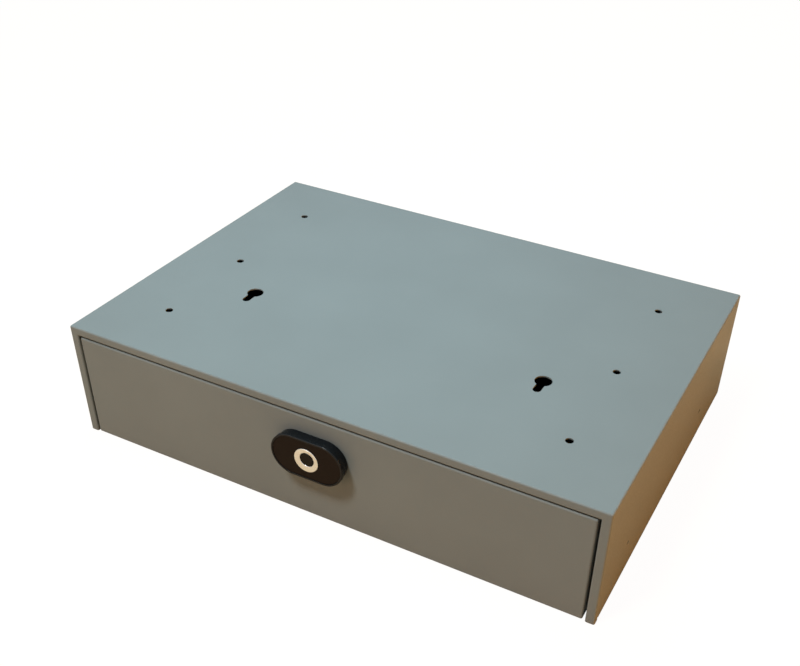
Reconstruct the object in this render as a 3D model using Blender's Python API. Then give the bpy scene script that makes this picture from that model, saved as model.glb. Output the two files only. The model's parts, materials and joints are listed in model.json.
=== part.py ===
"""Under desk drawer: a folded steel case with keyholes, a drawer on ball-bearing slides and a finger lock.

Metres, +Z up. The front faces -Y, and the origin is the middle of the bounding box, at its bottom.
Each piece is one object, made in world coordinates and parented to the empty of the body that it moves with.
"""

import math

import bmesh
import bpy
from mathutils import Vector

MM = 0.001

# Clearances
GAP = 0.3 * MM  # between faces that touch on the real drawer
RUNNING = 0.15 * MM  # between a ball and its raceway, and on each side of the bolt

# Case: one folded sheet with top, sides, front flange and base flanges, and a pan for its back
CASE_WIDTH = 400 * MM
CASE_DEPTH = 280 * MM
CASE_HEIGHT = 90 * MM
CASE_SHEET = 1.0 * MM
BEND_INNER = 0.4 * MM
BEND_STEPS = 3
FLANGE_WIDTH = 6.4 * MM
FLANGE_RETURN = 8 * MM
BASE_FLANGE = 6 * MM
BASE_FLANGE_START = 7 * MM  # behind the front face
RELIEF_WIDTH = 2 * MM
RELIEF_HEIGHT = 2.5 * MM
BACK_FLANGE = 10 * MM

# Holes in the top, each row or slot placed by its distance behind the front face
SCREW_HOLE_RADIUS = 2.5 * MM
SCREW_HOLE_SPAN = 307 * MM
SCREW_HOLE_ROWS = (51 * MM, 136 * MM, 226 * MM)
KEYHOLE_SPAN = 230 * MM
KEYHOLE_ENTRY_RADIUS = 6 * MM
KEYHOLE_ENTRY_ROW = 102 * MM
KEYHOLE_SLOT_RADIUS = 2.7 * MM
KEYHOLE_SLOT_ROW = 91 * MM

# Drawer front: a pan, open to the rear, that fills the case's opening
FRONT_SHEET = 1.0 * MM
FRONT_RETURN = 12 * MM
FRONT_LIFT = 0.5 * MM
REVEAL_SIDE = 1.7 * MM
REVEAL_TOP = 1.2 * MM
STUD_RADIUS = 2.0 * MM
STUD_LENGTH = 7.0 * MM
STUD_INSET = 38.4 * MM  # from the tray's sides
STUD_RISE = 17 * MM  # of the lower studs, above the tray's floor
STUD_DROP = 12 * MM  # of the upper studs, below the tray's top
NUT_RADIUS = 3.9 * MM
NUT_THICKNESS = 3.2 * MM

# Drawer tray
TRAY_SHEET = 0.8 * MM
TRAY_LIFT = 3 * MM
TRAY_TOP_SPACE = 16 * MM  # from the tray's rim to the case's top
TRAY_REAR_SPACE = 12 * MM  # from the tray's back wall to the case's rear
HEM_HEIGHT = 6 * MM

# Ball-bearing slides
SLIDE_HEIGHT = 27 * MM
SLIDE_THICKNESS = 10 * MM
SLIDE_SHEET = 1.2 * MM
SLIDE_LEVEL = 27 * MM  # its middle, above the case's underside
SLIDE_START = 14 * MM  # behind the front face
SLIDE_REAR_SPACE = 16 * MM  # from the slide's rear end to the case's rear
SLIDE_OVERLAP = 70 * MM  # of the two members, when the drawer is fully out
BALL_RADIUS = 1.75 * MM
BALL_INSET = 2.7 * MM  # from the drawer-side face
BALLS_PER_RACE = 5
BALL_PITCH = 14 * MM
CAGE_SHEET = 0.6 * MM
CAGE_LENGTH = 66 * MM
CAGE_WEB_INSET = 4.4 * MM  # from the case-side face
BUMPER_LENGTH = 6 * MM
CASE_SCREW_INSETS = (36.5 * MM, 54 * MM)  # from the slide's front and rear ends
TRAY_SCREW_INSETS = (24 * MM, 28 * MM)
SLIDE_SCREW_RADIUS = 1.3 * MM
SLIDE_SCREW_HEAD = 2.8 * MM
SLIDE_SCREW_HEAD_HEIGHT = 1.4 * MM

# Strike under the case's top, in front of the raised bolt
STRIKE_WIDTH = 30 * MM
STRIKE_FOOT = 11 * MM
STRIKE_SHEET = 1.2 * MM
STRIKE_PLAY = 0.5 * MM
STRIKE_RISE = 2 * MM  # above the lowered bolt

# Lock, outside: sizes across the front, and how far each face stands proud of the drawer front
LOCK_DROP = 19.2 * MM  # of its middle, below the tray's rim
LOCK_WIDTH = 54.5 * MM
LOCK_HEIGHT = 32 * MM
LOCK_PROUD = 8.5 * MM
LOCK_WAIST = 0.8 * MM  # the body is this much smaller than its rim, all round
LOCK_RIM_DEPTH = 3.0 * MM
LOCK_RIM_BEVEL = 1.0 * MM
LOCK_RIM_WIDTH = 2.0 * MM
PLATE_THICKNESS = 0.9 * MM
PLATE_SUNK = 0.35 * MM
RING_RADIUS = 9.0 * MM
RING_BORE = 5.25 * MM
RING_DEPTH = 3.0 * MM
RING_DISH = 0.7 * MM
SENSOR_RADIUS = 4.95 * MM
LOCK_SCREW_SPAN = 38 * MM
LOCK_SCREW_RADIUS = 1.5 * MM
LOCK_SCREW_HEAD = 2.8 * MM
LOCK_SCREW_HEAD_HEIGHT = 1.6 * MM
LOCK_SCREW_DEPTH = 5.2 * MM  # how deep its tip goes into the escutcheon

# Lock, inside: the chassis behind the tray's front wall, and what it holds
CHASSIS_WIDTH = 76 * MM
CHASSIS_DROP = 0.5 * MM  # below the tray's rim
CHASSIS_HEIGHT = 37 * MM
CHASSIS_DEPTH = 31.6 * MM
CHASSIS_WALL = 1.5 * MM
CHASSIS_CORNER = 3 * MM
COVER_THICKNESS = 1.5 * MM
POST_RADIUS = 2.6 * MM
POST_INSET = 3.4 * MM  # from the chassis's inner walls
COVER_SCREW_RADIUS = 1.0 * MM
COVER_SCREW_HEAD = 2.1 * MM
COVER_SCREW_HEAD_HEIGHT = 1.2 * MM
COVER_SCREW_LENGTH = 6 * MM
BOARD_THICKNESS = 1.2 * MM
BOARD_WIDTH = 48 * MM
BOARD_HEIGHT = 26 * MM
BOARD_PARTS = (  # centre as shares of half the board's width and height; width, height and thickness
    (-0.5, 0.25, 6.5 * MM, 6.5 * MM, 1.2 * MM),  # processor
    (-0.75, -0.5, 3.25 * MM, 3.25 * MM, 2.4 * MM),  # motor's connector
    (0.7, -0.5, 3.25 * MM, 3.25 * MM, 2.4 * MM),  # battery's connector
    (0.6, 0.25, 3.25 * MM, 6.5 * MM, 1.2 * MM),  # motor's driver
)
STANDOFF = 3.4 * MM
BATTERY_THICKNESS = 6 * MM
BATTERY_DEPTH = 24 * MM
BATTERY_HEIGHT = 22 * MM
BOLT_WIDTH = 14 * MM
BOLT_THICKNESS = 4 * MM
BOLT_SILL = 5.5 * MM  # above the chassis's underside
BOLT_TIP = 2.5 * MM  # above the chassis's top
BOLT_TRAVEL = 7 * MM
BOLT_SETBACK = 16.6 * MM  # its front face, behind the case's front face
GUIDE_WALL = 1.5 * MM
MOTOR_RADIUS = 6 * MM
MOTOR_FLAT = 5 * MM  # half the width across the motor's flats
MOTOR_LENGTH = 24 * MM
GEARBOX_LENGTH = 9 * MM
MOTOR_TAIL = 1 * MM
CRADLE_WIDTH = 2 * MM
TEETH = 10
MODULE = 0.8 * MM
PRESSURE_ANGLE = math.radians(25)
ADDENDUM = 0.8  # of a module
TIP_CLEARANCE = 0.25  # of a module
BACKLASH = 0.16 * MM
PINION_WIDTH = 5 * MM
SHAFT_RADIUS = 1.5 * MM
SHAFT_STUB = 1 * MM  # past the pinion's far face
PINION_RISE = 18.5 * MM  # above the chassis's underside

# Pan head screws: shares of the head's height and radius
DOME_TOP = 0.6
DOME_EDGE = 0.4
CROSS_DEPTH = 0.55
CROSS_REACH = 0.5
CROSS_HALF_WIDTH = 0.11

# Places that follow from the sizes above
FRONT = (LOCK_PROUD - CASE_DEPTH) / 2
REAR = FRONT + CASE_DEPTH
CASE_INNER = CASE_WIDTH / 2 - CASE_SHEET
SLIDE_BACK = CASE_INNER - GAP
TRAY_SIDE = SLIDE_BACK - SLIDE_THICKNESS - GAP
PANEL_SIDE = CASE_WIDTH / 2 - FLANGE_WIDTH - REVEAL_SIDE
PANEL_TOP = CASE_HEIGHT - FLANGE_WIDTH - REVEAL_TOP
TRAY_FRONT = FRONT + FRONT_SHEET + GAP
TRAY_REAR = REAR - TRAY_REAR_SPACE
TRAY_TOP = CASE_HEIGHT - TRAY_TOP_SPACE
STUD_SPAN = 2 * (TRAY_SIDE - STUD_INSET)
STUD_HEIGHTS = (TRAY_LIFT + STUD_RISE, TRAY_TOP - STUD_DROP)
SLIDE_END = CASE_DEPTH - SLIDE_REAR_SPACE
SLIDE_LENGTH = SLIDE_END - SLIDE_START
SLIDE_TRAVEL = SLIDE_LENGTH - SLIDE_OVERLAP
CASE_SCREW_ROWS = (SLIDE_START + CASE_SCREW_INSETS[0], SLIDE_END - CASE_SCREW_INSETS[1])
TRAY_SCREW_ROWS = (SLIDE_START + TRAY_SCREW_INSETS[0], SLIDE_END - TRAY_SCREW_INSETS[1])
CHASSIS_FRONT = TRAY_FRONT + TRAY_SHEET + GAP
CHASSIS_REAR = CHASSIS_FRONT + CHASSIS_DEPTH
CHASSIS_TOP = TRAY_TOP - CHASSIS_DROP
CHASSIS_BOTTOM = CHASSIS_TOP - CHASSIS_HEIGHT
LOCK_LEVEL = TRAY_TOP - LOCK_DROP
BOARD_FRONT = CHASSIS_FRONT + CHASSIS_WALL + STANDOFF
BALL_ACROSS = SLIDE_THICKNESS - BALL_INSET
BALL_UP = SLIDE_HEIGHT / 2 - SLIDE_SHEET - RUNNING - BALL_RADIUS
RACE_RADIUS = BALL_RADIUS + RUNNING + SLIDE_SHEET / 2  # of the sheet's middle line
BOLT_FRONT = FRONT + BOLT_SETBACK
BOLT_REAR = BOLT_FRONT + BOLT_THICKNESS
BOLT_BOTTOM = CHASSIS_BOTTOM + BOLT_SILL
BOLT_TOP = CHASSIS_TOP + BOLT_TIP
STRIKE_BOTTOM = BOLT_TOP + STRIKE_RISE
PINION_LEVEL = CHASSIS_BOTTOM + PINION_RISE
PITCH_RADIUS = TEETH * MODULE / 2
PINION_Y = BOLT_REAR + (ADDENDUM + TIP_CLEARANCE) * MODULE + PITCH_RADIUS
MOTOR_END = -BOLT_WIDTH / 2 - RUNNING - GUIDE_WALL - GAP  # the gearbox's face, next to the bolt's guide
SENSOR_HOLE = SENSOR_RADIUS + 2 * GAP

SMOOTH_ANGLE = math.radians(35)
ROUND_STEPS = 20
SMALL_STEPS = 12  # of screws and their holes
RING_STEPS = 36
END_STEPS = 10  # of the round end of a bar
X, Y, Z = range(3)
SIDES = (("left", -1), ("right", 1))

# Colours of each finish: base colour, roughness, metallic
FINISHES = {
    "powder_coat": ((0.20, 0.22, 0.22), 0.42, 0.25),
    "galvanised": ((0.56, 0.57, 0.58), 0.35, 1.0),
    "ball_steel": ((0.75, 0.76, 0.78), 0.12, 1.0),
    "zinc_screw": ((0.62, 0.62, 0.60), 0.30, 1.0),
    "black_rubber": ((0.02, 0.02, 0.02), 0.80, 0.0),
    "black_paint": ((0.015, 0.016, 0.018), 0.38, 0.2),
    "black_gloss": ((0.012, 0.010, 0.009), 0.20, 0.0),
    "chrome": ((0.80, 0.80, 0.82), 0.08, 1.0),
    "sensor_glass": ((0.02, 0.02, 0.02), 0.25, 0.0),
    "grey_plastic": ((0.10, 0.10, 0.11), 0.55, 0.0),
    "board_green": ((0.02, 0.16, 0.07), 0.45, 0.0),
    "cell_wrap": ((0.08, 0.22, 0.45), 0.50, 0.0),
    "nylon": ((0.85, 0.84, 0.80), 0.50, 0.0),
}


def behind(distance):
    """The y of a place this far behind the case's front face."""
    return FRONT + distance


def proud(distance):
    """The y of a place this far in front of the case's front face."""
    return FRONT - distance


# Scene


def clear_scene():
    for obj in list(bpy.data.objects):
        bpy.data.objects.remove(obj, do_unlink=True)


def finish(name):
    """The finish's material, made the first time that it is asked for."""
    found = bpy.data.materials.get(name)
    if found:
        return found
    colour, roughness, metallic = FINISHES[name]
    made = bpy.data.materials.new(name)
    made.use_nodes = True
    shader = made.node_tree.nodes["Principled BSDF"]
    shader.inputs["Base Color"].default_value = (*colour, 1)
    shader.inputs["Roughness"].default_value = roughness
    shader.inputs["Metallic"].default_value = metallic
    made.diffuse_color = (*colour, 1)
    return made


def body(name, place=(0, 0, 0), parent=None):
    """An empty that carries the pieces of one moving body, at its joint."""
    empty = bpy.data.objects.new(f"body {name}", None)
    bpy.context.scene.collection.objects.link(empty)
    empty.empty_display_size = 0.02
    empty.location = place
    if parent:
        empty.parent = parent
        empty.location = Vector(place) - world_place(parent)
    return empty


def world_place(empty):
    """Where an unturned empty stands, added up along its parents."""
    place = Vector(empty.location)
    return place + world_place(empty.parent) if empty.parent else place


def mesh_of(name, bm):
    mesh = bpy.data.meshes.new(name)
    bm.to_mesh(mesh)
    bm.free()
    mesh.shade_smooth()
    mesh.set_sharp_from_angle(angle=SMOOTH_ANGLE)
    return mesh


def piece(name, bm, surface, carrier):
    """One part of the drawer, its origin at its carrier's, which is on the joint's axis."""
    place = world_place(carrier)
    bmesh.ops.translate(bm, verts=bm.verts, vec=-place)
    obj = bpy.data.objects.new(name, mesh_of(name, bm))
    obj.data.materials.append(finish(surface))
    obj.parent = carrier
    bpy.context.scene.collection.objects.link(obj)
    return obj


def tool(target, shapes, operation):
    """Adds a Boolean whose operand holds these shapes, which don't meet one another."""
    name = f"{operation.lower()} {target.name} {len(target.modifiers)}"
    operand = bpy.data.objects.new(name, mesh_of(name, merged(shapes)))
    operand.hide_render = True
    operand.display_type = "WIRE"
    bpy.context.scene.collection.objects.link(operand)
    modifier = target.modifiers.new(operation.lower(), "BOOLEAN")
    modifier.operation = operation
    modifier.solver = "EXACT"
    modifier.object = operand


def cut(target, *shapes):
    tool(target, shapes, "DIFFERENCE")


def fuse(target, *shapes):
    tool(target, shapes, "UNION")


def merged(shapes):
    """One bmesh that holds all of these, each as a body of its own."""
    whole = bmesh.new()
    for shape in shapes:
        mesh = bpy.data.meshes.new("shape")
        shape.to_mesh(mesh)
        shape.free()
        whole.from_mesh(mesh)
        bpy.data.meshes.remove(mesh)
    return whole


# Outlines: lists of (a, b) points


def arc(centre, radius, start, end, steps):
    """Points from angle start to angle end, in degrees from the first axis towards the second."""
    angles = [math.radians(start + (end - start) * i / steps) for i in range(steps + 1)]
    return [(centre[0] + radius * math.cos(t), centre[1] + radius * math.sin(t)) for t in angles]


def circle(centre, radius, steps=ROUND_STEPS):
    return arc(centre, radius, 0, 360, steps)[:-1]


def stadium(width, height, centre, steps=END_STEPS):
    """A bar with round ends, wider than it is high."""
    reach = (width - height) / 2
    right = arc((centre[0] + reach, centre[1]), height / 2, -90, 90, steps)
    left = arc((centre[0] - reach, centre[1]), height / 2, 90, 270, steps)
    return right + left


def rounded(low, high, radius, steps=3):
    """A rectangle with round corners."""
    corners = (
        ((high[0] - radius, low[1] + radius), -90),
        ((high[0] - radius, high[1] - radius), 0),
        ((low[0] + radius, high[1] - radius), 90),
        ((low[0] + radius, low[1] + radius), 180),
    )
    return [p for centre, start in corners for p in arc(centre, radius, start, start + 90, steps)]


def ribbon(path, thickness):
    """The outline of a sheet of this thickness that follows an open path down its middle."""

    def offset(i, side):
        before = Vector(path[i]) - Vector(path[i - 1]) if i else None
        after = Vector(path[i + 1]) - Vector(path[i]) if i + 1 < len(path) else None
        ways = [way.normalized() for way in (before, after) if way is not None]
        normals = [Vector((-way.y, way.x)) for way in ways]
        mean = sum(normals, Vector((0, 0))).normalized()
        reach = side * thickness / 2 / mean.dot(normals[0])
        return tuple(Vector(path[i]) + mean * reach)

    indices = range(len(path))
    return [offset(i, 1) for i in indices] + [offset(i, -1) for i in reversed(indices)]


# Solids: each returns a closed bmesh that faces outwards


def loft(sections, along):
    """Joins outlines with equally many points, each given as (outline, place along the axis)."""
    others = [axis for axis in (X, Y, Z) if axis != along]
    bm = bmesh.new()
    rings = []
    for outline, place in sections:
        ring = []
        for a, b in outline:
            point = [place] * 3
            point[others[0]], point[others[1]] = a, b
            ring.append(bm.verts.new(point))
        rings.append(ring)
    count = len(rings[0])
    for low, high in zip(rings, rings[1:]):
        for i in range(count):
            j = (i + 1) % count
            bm.faces.new((low[i], low[j], high[j], high[i]))
    bm.faces.new(rings[0])
    bm.faces.new(rings[-1])
    bmesh.ops.recalc_face_normals(bm, faces=bm.faces)
    return bm


def prism(outline, along, low, high):
    return loft(((outline, low), (outline, high)), along)


def rod(centre, radius, along, low, high, steps=ROUND_STEPS):
    return prism(circle(centre, radius, steps), along, low, high)


def box(low, high):
    outline = [(low[X], low[Y]), (high[X], low[Y]), (high[X], high[Y]), (low[X], high[Y])]
    return prism(outline, Z, low[Z], high[Z])


def hexagon(centre, radius):
    return circle(centre, radius, 6)


def pan_head_screw(centre, along, seat, way, shank, head, height, length):
    """A screw whose head's underside is at seat, with its shank running length further in direction way."""
    dome = (
        (circle(centre, head * DOME_TOP, SMALL_STEPS), seat - way * height),
        (circle(centre, head, SMALL_STEPS), seat - way * height * DOME_EDGE),
        (circle(centre, head, SMALL_STEPS), seat),
        (circle(centre, shank, SMALL_STEPS), seat),
        (circle(centre, shank, SMALL_STEPS), seat + way * length),
    )
    return loft(dome, along)


def socket(centre, along, seat, way, head, height):
    """The cross recess in a pan head, as two slots that don't meet the rim."""
    reach, half = head * CROSS_REACH, head * CROSS_HALF_WIDTH
    top, floor = seat - way * (height + GAP), seat - way * height * (1 - CROSS_DEPTH)
    low, high = sorted((top, floor))
    a, b = centre
    cross = [
        (a - half, b - reach), (a + half, b - reach), (a + half, b - half), (a + reach, b - half),
        (a + reach, b + half), (a + half, b + half), (a + half, b + reach), (a - half, b + reach),
        (a - half, b + half), (a - reach, b + half), (a - reach, b - half), (a - half, b - half),
    ]
    return prism(cross, along, low, high)


# Folded sheet: an open skin, bent at its edges, that a Solidify thickens inwards


def bend(bm, sheet):
    """Rounds every edge between two faces that aren't in one plane."""
    edges = [e for e in bm.edges if len(e.link_faces) == 2 and e.calc_face_angle() > SMOOTH_ANGLE]
    bmesh.ops.bevel(
        bm, geom=edges, offset=BEND_INNER + sheet, segments=BEND_STEPS, profile=0.5, affect="EDGES"
    )
    return bm


def pan(low, high, open_along, open_way, sheet):
    """A box of sheet without the face that looks along open_along in direction open_way."""
    bm = box(low, high)
    bm.faces.ensure_lookup_table()
    gone = [f for f in bm.faces if f.normal[open_along] * open_way > 0.9]
    bmesh.ops.delete(bm, geom=gone, context="FACES_ONLY")
    return bend(bm, sheet)


def thicken(obj, sheet):
    modifier = obj.modifiers.new("sheet", "SOLIDIFY")
    modifier.thickness = sheet
    modifier.offset = -1
    modifier.use_even_offset = True
    modifier.use_quality_normals = True


# Case


def case_skin():
    """The case's outer skin: top, sides, front flange with its return, and a flange under each side."""
    half, top = CASE_WIDTH / 2, CASE_HEIGHT
    inner, ceiling = half - FLANGE_WIDTH, CASE_HEIGHT - FLANGE_WIDTH
    lip = behind(FLANGE_RETURN)
    start = behind(BASE_FLANGE_START)
    relief = start - RELIEF_WIDTH
    bm = bmesh.new()
    made = {}

    def face(*corners):
        for corner in corners:
            if corner not in made:
                made[corner] = bm.verts.new(corner)
        return bm.faces.new([made[corner] for corner in corners])

    roof = face((-half, FRONT, top), (half, FRONT, top), (half, REAR, top), (-half, REAR, top))
    face(
        (-half, FRONT, 0), (-inner, FRONT, 0), (-inner, FRONT, ceiling), (inner, FRONT, ceiling),
        (inner, FRONT, 0), (half, FRONT, 0), (half, FRONT, top), (-half, FRONT, top),
    )
    face((-inner, FRONT, ceiling), (inner, FRONT, ceiling), (inner, lip, ceiling), (-inner, lip, ceiling))
    for _, side in SIDES:
        x, rim = side * half, side * inner
        face(
            (x, FRONT, top), (x, REAR, top), (x, REAR, 0), (x, start, 0), (x, start, RELIEF_HEIGHT),
            (x, relief, RELIEF_HEIGHT), (x, relief, 0), (x, FRONT, 0),
        )
        base = side * (half - BASE_FLANGE)
        face((x, start, 0), (x, REAR, 0), (base, REAR, 0), (base, start, 0))
        face((rim, FRONT, 0), (rim, FRONT, ceiling), (rim, lip, ceiling), (rim, lip, 0))
    bmesh.ops.recalc_face_normals(bm, faces=bm.faces)
    if roof.normal.z < 0:
        bmesh.ops.reverse_faces(bm, faces=bm.faces)
    return bend(bm, CASE_SHEET)


def keyhole(x):
    """A cutter: the entry circle, and the slot that runs from it towards the front."""
    entry, slot = behind(KEYHOLE_ENTRY_ROW), behind(KEYHOLE_SLOT_ROW)
    shoulder = math.degrees(math.asin(KEYHOLE_SLOT_RADIUS / KEYHOLE_ENTRY_RADIUS))
    outline = arc((x, entry), KEYHOLE_ENTRY_RADIUS, shoulder - 90, 270 - shoulder, ROUND_STEPS)
    outline += arc((x, slot), KEYHOLE_SLOT_RADIUS, 180, 360, END_STEPS)
    return prism(outline, Z, CASE_HEIGHT - 4 * CASE_SHEET, CASE_HEIGHT + 4 * CASE_SHEET)


def build_case(case):
    shell = piece("case_shell", case_skin(), "powder_coat", case)
    thicken(shell, CASE_SHEET)
    low, high = CASE_HEIGHT - 4 * CASE_SHEET, CASE_HEIGHT + 4 * CASE_SHEET
    holes = [keyhole(side * KEYHOLE_SPAN / 2) for _, side in SIDES]
    for row in SCREW_HOLE_ROWS:
        for _, side in SIDES:
            centre = (side * SCREW_HOLE_SPAN / 2, behind(row))
            holes.append(rod(centre, SCREW_HOLE_RADIUS, Z, low, high))
    for row in CASE_SCREW_ROWS:
        centre = (behind(row), SLIDE_LEVEL)
        for _, side in SIDES:
            ends = sorted((side * (CASE_INNER - 2 * CASE_SHEET), side * (CASE_WIDTH / 2 + CASE_SHEET)))
            holes.append(rod(centre, SLIDE_SCREW_RADIUS + GAP, X, *ends, steps=SMALL_STEPS))
    cut(shell, *holes)

    side, roof = CASE_INNER - GAP, CASE_HEIGHT - CASE_SHEET - GAP
    low, high = (-side, REAR - BACK_FLANGE, CASE_SHEET + GAP), (side, REAR, roof)
    back = piece("case_back", pan(low, high, Y, -1, CASE_SHEET), "powder_coat", case)
    thicken(back, CASE_SHEET)


def build_strike(case):
    """An angle welded under the top: its leg hangs in front of the raised bolt, its foot runs forwards."""
    half, top = STRIKE_SHEET / 2, CASE_HEIGHT - CASE_SHEET - GAP
    leg = BOLT_FRONT - STRIKE_PLAY - half
    radius = BEND_INNER + half
    corner = arc((leg - radius, top - half - radius), radius, 0, 90, BEND_STEPS)
    path = [(leg, STRIKE_BOTTOM), *corner, (leg - STRIKE_FOOT, top - half)]
    outline = ribbon(path, STRIKE_SHEET)
    piece("strike_plate", prism(outline, X, -STRIKE_WIDTH / 2, STRIKE_WIDTH / 2), "galvanised", case)


# Slides: a section point (u, v) is u across from the case-side face and v above the slide's middle


def race(way, start, end, steps=6):
    """The middle line of a raceway groove round the upper ball, above it (way 1) or below it (way -1)."""
    angles = [math.radians(start + (end - start) * i / steps) for i in range(steps + 1)]
    return [
        (BALL_ACROSS + RACE_RADIUS * math.sin(t), BALL_UP + way * RACE_RADIUS * math.cos(t)) for t in angles
    ]


def mirrored(upper):
    """A whole path from its upper half, which starts next to the middle."""
    return [(u, -v) for u, v in reversed(upper)] + upper


def slide_part(outline, side, start, end):
    """The section's solid on one side of the drawer, between two distances behind the front."""
    placed = [(side * (SLIDE_BACK - u), SLIDE_LEVEL + v) for u, v in outline]
    return prism(placed, Y, behind(start), behind(end))


def outer_section():
    half, roof = SLIDE_SHEET / 2, SLIDE_HEIGHT / 2 - SLIDE_SHEET / 2
    radius = BEND_INNER + half
    corner = arc((half + radius, roof - radius), radius, 180, 90, BEND_STEPS)
    groove = race(1, -50, 45)
    step = (groove[0][0] - RACE_RADIUS * 0.65, roof)
    return ribbon(mirrored([*corner, step, *groove]), SLIDE_SHEET)


def inner_section():
    web = SLIDE_THICKNESS - SLIDE_SHEET / 2
    groove = race(-1, 30, -30)
    end, level = groove[0]
    radius = web - end
    corner = arc((end, level - radius), radius, 0, 90, BEND_STEPS)
    return ribbon(mirrored([*corner[:-1], *groove]), SLIDE_SHEET)


def cage_section():
    radius = CAGE_SHEET / 2 + BEND_INNER
    tip = SLIDE_THICKNESS - SLIDE_SHEET
    corner = arc((CAGE_WEB_INSET + radius, BALL_UP - radius), radius, 180, 90, BEND_STEPS)
    return ribbon(mirrored([*corner, (tip, BALL_UP)]), CAGE_SHEET)


def ball(x, y, z):
    bm = bmesh.new()
    bmesh.ops.create_icosphere(bm, subdivisions=2, radius=BALL_RADIUS)
    bmesh.ops.translate(bm, verts=bm.verts, vec=(x, y, z))
    return bm


def slide_screw(name, side, row, seat, way, length, carrier):
    """A pan head screw along X whose head's underside is at distance seat from the middle of the drawer."""
    centre = (behind(row), SLIDE_LEVEL)
    sizes = (SLIDE_SCREW_RADIUS, SLIDE_SCREW_HEAD, SLIDE_SCREW_HEAD_HEIGHT, length)
    screw = piece(name, pan_head_screw(centre, X, side * seat, side * way, *sizes), "zinc_screw", carrier)
    cut(screw, socket(centre, X, side * seat, side * way, SLIDE_SCREW_HEAD, SLIDE_SCREW_HEAD_HEIGHT))


def slide_holes(side, rows, near, far):
    """Cutters for a slide's screws between two distances from the middle of the drawer."""
    ends = sorted((side * near, side * far))
    centres = [(behind(row), SLIDE_LEVEL) for row in rows]
    return [rod(centre, SLIDE_SCREW_RADIUS + GAP, X, *ends, steps=SMALL_STEPS) for centre in centres]


def build_slide(name, side, case, drawer, cage):
    start, end = SLIDE_START, SLIDE_END
    web = SLIDE_BACK - SLIDE_SHEET
    outer = piece(f"rail_outer_{name}", slide_part(outer_section(), side, start, end), "galvanised", case)
    cut(outer, *slide_holes(side, CASE_SCREW_ROWS, web - SLIDE_SHEET, SLIDE_BACK + SLIDE_SHEET))
    for place, row in zip(("front", "rear"), CASE_SCREW_ROWS):
        length = SLIDE_SHEET + GAP + CASE_SHEET + GAP
        slide_screw(f"rail_screw_{name}_{place}", side, row, web - GAP, 1, length, case)

    inner_end = end - BUMPER_LENGTH - GAP
    inner = slide_part(inner_section(), side, start, inner_end)
    inner = piece(f"rail_inner_{name}", inner, "galvanised", drawer)
    tray_face = TRAY_SIDE + GAP
    cut(inner, *slide_holes(side, TRAY_SCREW_ROWS, TRAY_SIDE, tray_face + 2 * SLIDE_SHEET))
    for place, row in zip(("front", "rear"), TRAY_SCREW_ROWS):
        length = TRAY_SHEET + SLIDE_SHEET + 3 * GAP
        slide_screw(f"tray_screw_{name}_{place}", side, row, TRAY_SIDE - TRAY_SHEET - GAP, 1, length, drawer)

    low, channel = SLIDE_BACK - SLIDE_THICKNESS + GAP, BALL_UP
    edges = sorted((side * low, side * (web - GAP)))
    block = rounded(
        (edges[0], SLIDE_LEVEL - channel), (edges[1], SLIDE_LEVEL + channel), SLIDE_SHEET, BEND_STEPS
    )
    solid = prism(block, Y, behind(end - BUMPER_LENGTH), behind(end))
    piece(f"rail_bumper_{name}", solid, "black_rubber", case)

    middle = SLIDE_START + (SLIDE_LENGTH + SLIDE_TRAVEL / 2) / 2 - BUMPER_LENGTH / 2
    solid = slide_part(cage_section(), side, middle - CAGE_LENGTH / 2, middle + CAGE_LENGTH / 2)
    holder = piece(f"rail_cage_{name}", solid, "ball_steel", cage)
    places = [behind(middle) + BALL_PITCH * (i - (BALLS_PER_RACE - 1) / 2) for i in range(BALLS_PER_RACE)]
    x = side * (SLIDE_BACK - BALL_ACROSS)
    levels = (SLIDE_LEVEL - BALL_UP, SLIDE_LEVEL + BALL_UP)
    fuse(holder, *[ball(x, y, z) for y in places for z in levels])


# Drawer


def build_tray(drawer):
    low, high = (-TRAY_SIDE, TRAY_FRONT, TRAY_LIFT), (TRAY_SIDE, TRAY_REAR, TRAY_TOP)
    tray = piece("drawer_tray", pan(low, high, Z, 1, TRAY_SHEET), "powder_coat", drawer)
    thicken(tray, TRAY_SHEET)
    hems = []
    for _, side in SIDES:
        ends = sorted((side * (TRAY_SIDE - TRAY_SHEET / 2), side * (TRAY_SIDE - 2 * TRAY_SHEET)))
        start, end = TRAY_FRONT + FRONT_RETURN, TRAY_REAR - FRONT_RETURN
        hems.append(box((ends[0], start, TRAY_TOP - HEM_HEIGHT), (ends[1], end, TRAY_TOP - GAP)))
    fuse(tray, *hems)
    near, far = TRAY_FRONT - TRAY_SHEET, TRAY_FRONT + 2 * TRAY_SHEET
    holes = [rod(centre, STUD_RADIUS + GAP, Y, near, far) for centre in stud_centres()]
    holes += [rod(centre, LOCK_SCREW_RADIUS + GAP, Y, near, far) for centre in lock_screw_centres()]
    holes.append(rod((0, LOCK_LEVEL), SENSOR_HOLE, Y, near, far))
    for _, side in SIDES:
        holes += slide_holes(side, TRAY_SCREW_ROWS, TRAY_SIDE - 2 * TRAY_SHEET, TRAY_SIDE + TRAY_SHEET)
    cut(tray, *holes)


def stud_centres():
    return [(side * STUD_SPAN / 2, height) for height in STUD_HEIGHTS for _, side in SIDES]


def lock_screw_centres():
    return [(side * LOCK_SCREW_SPAN / 2, LOCK_LEVEL) for _, side in SIDES]


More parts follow.
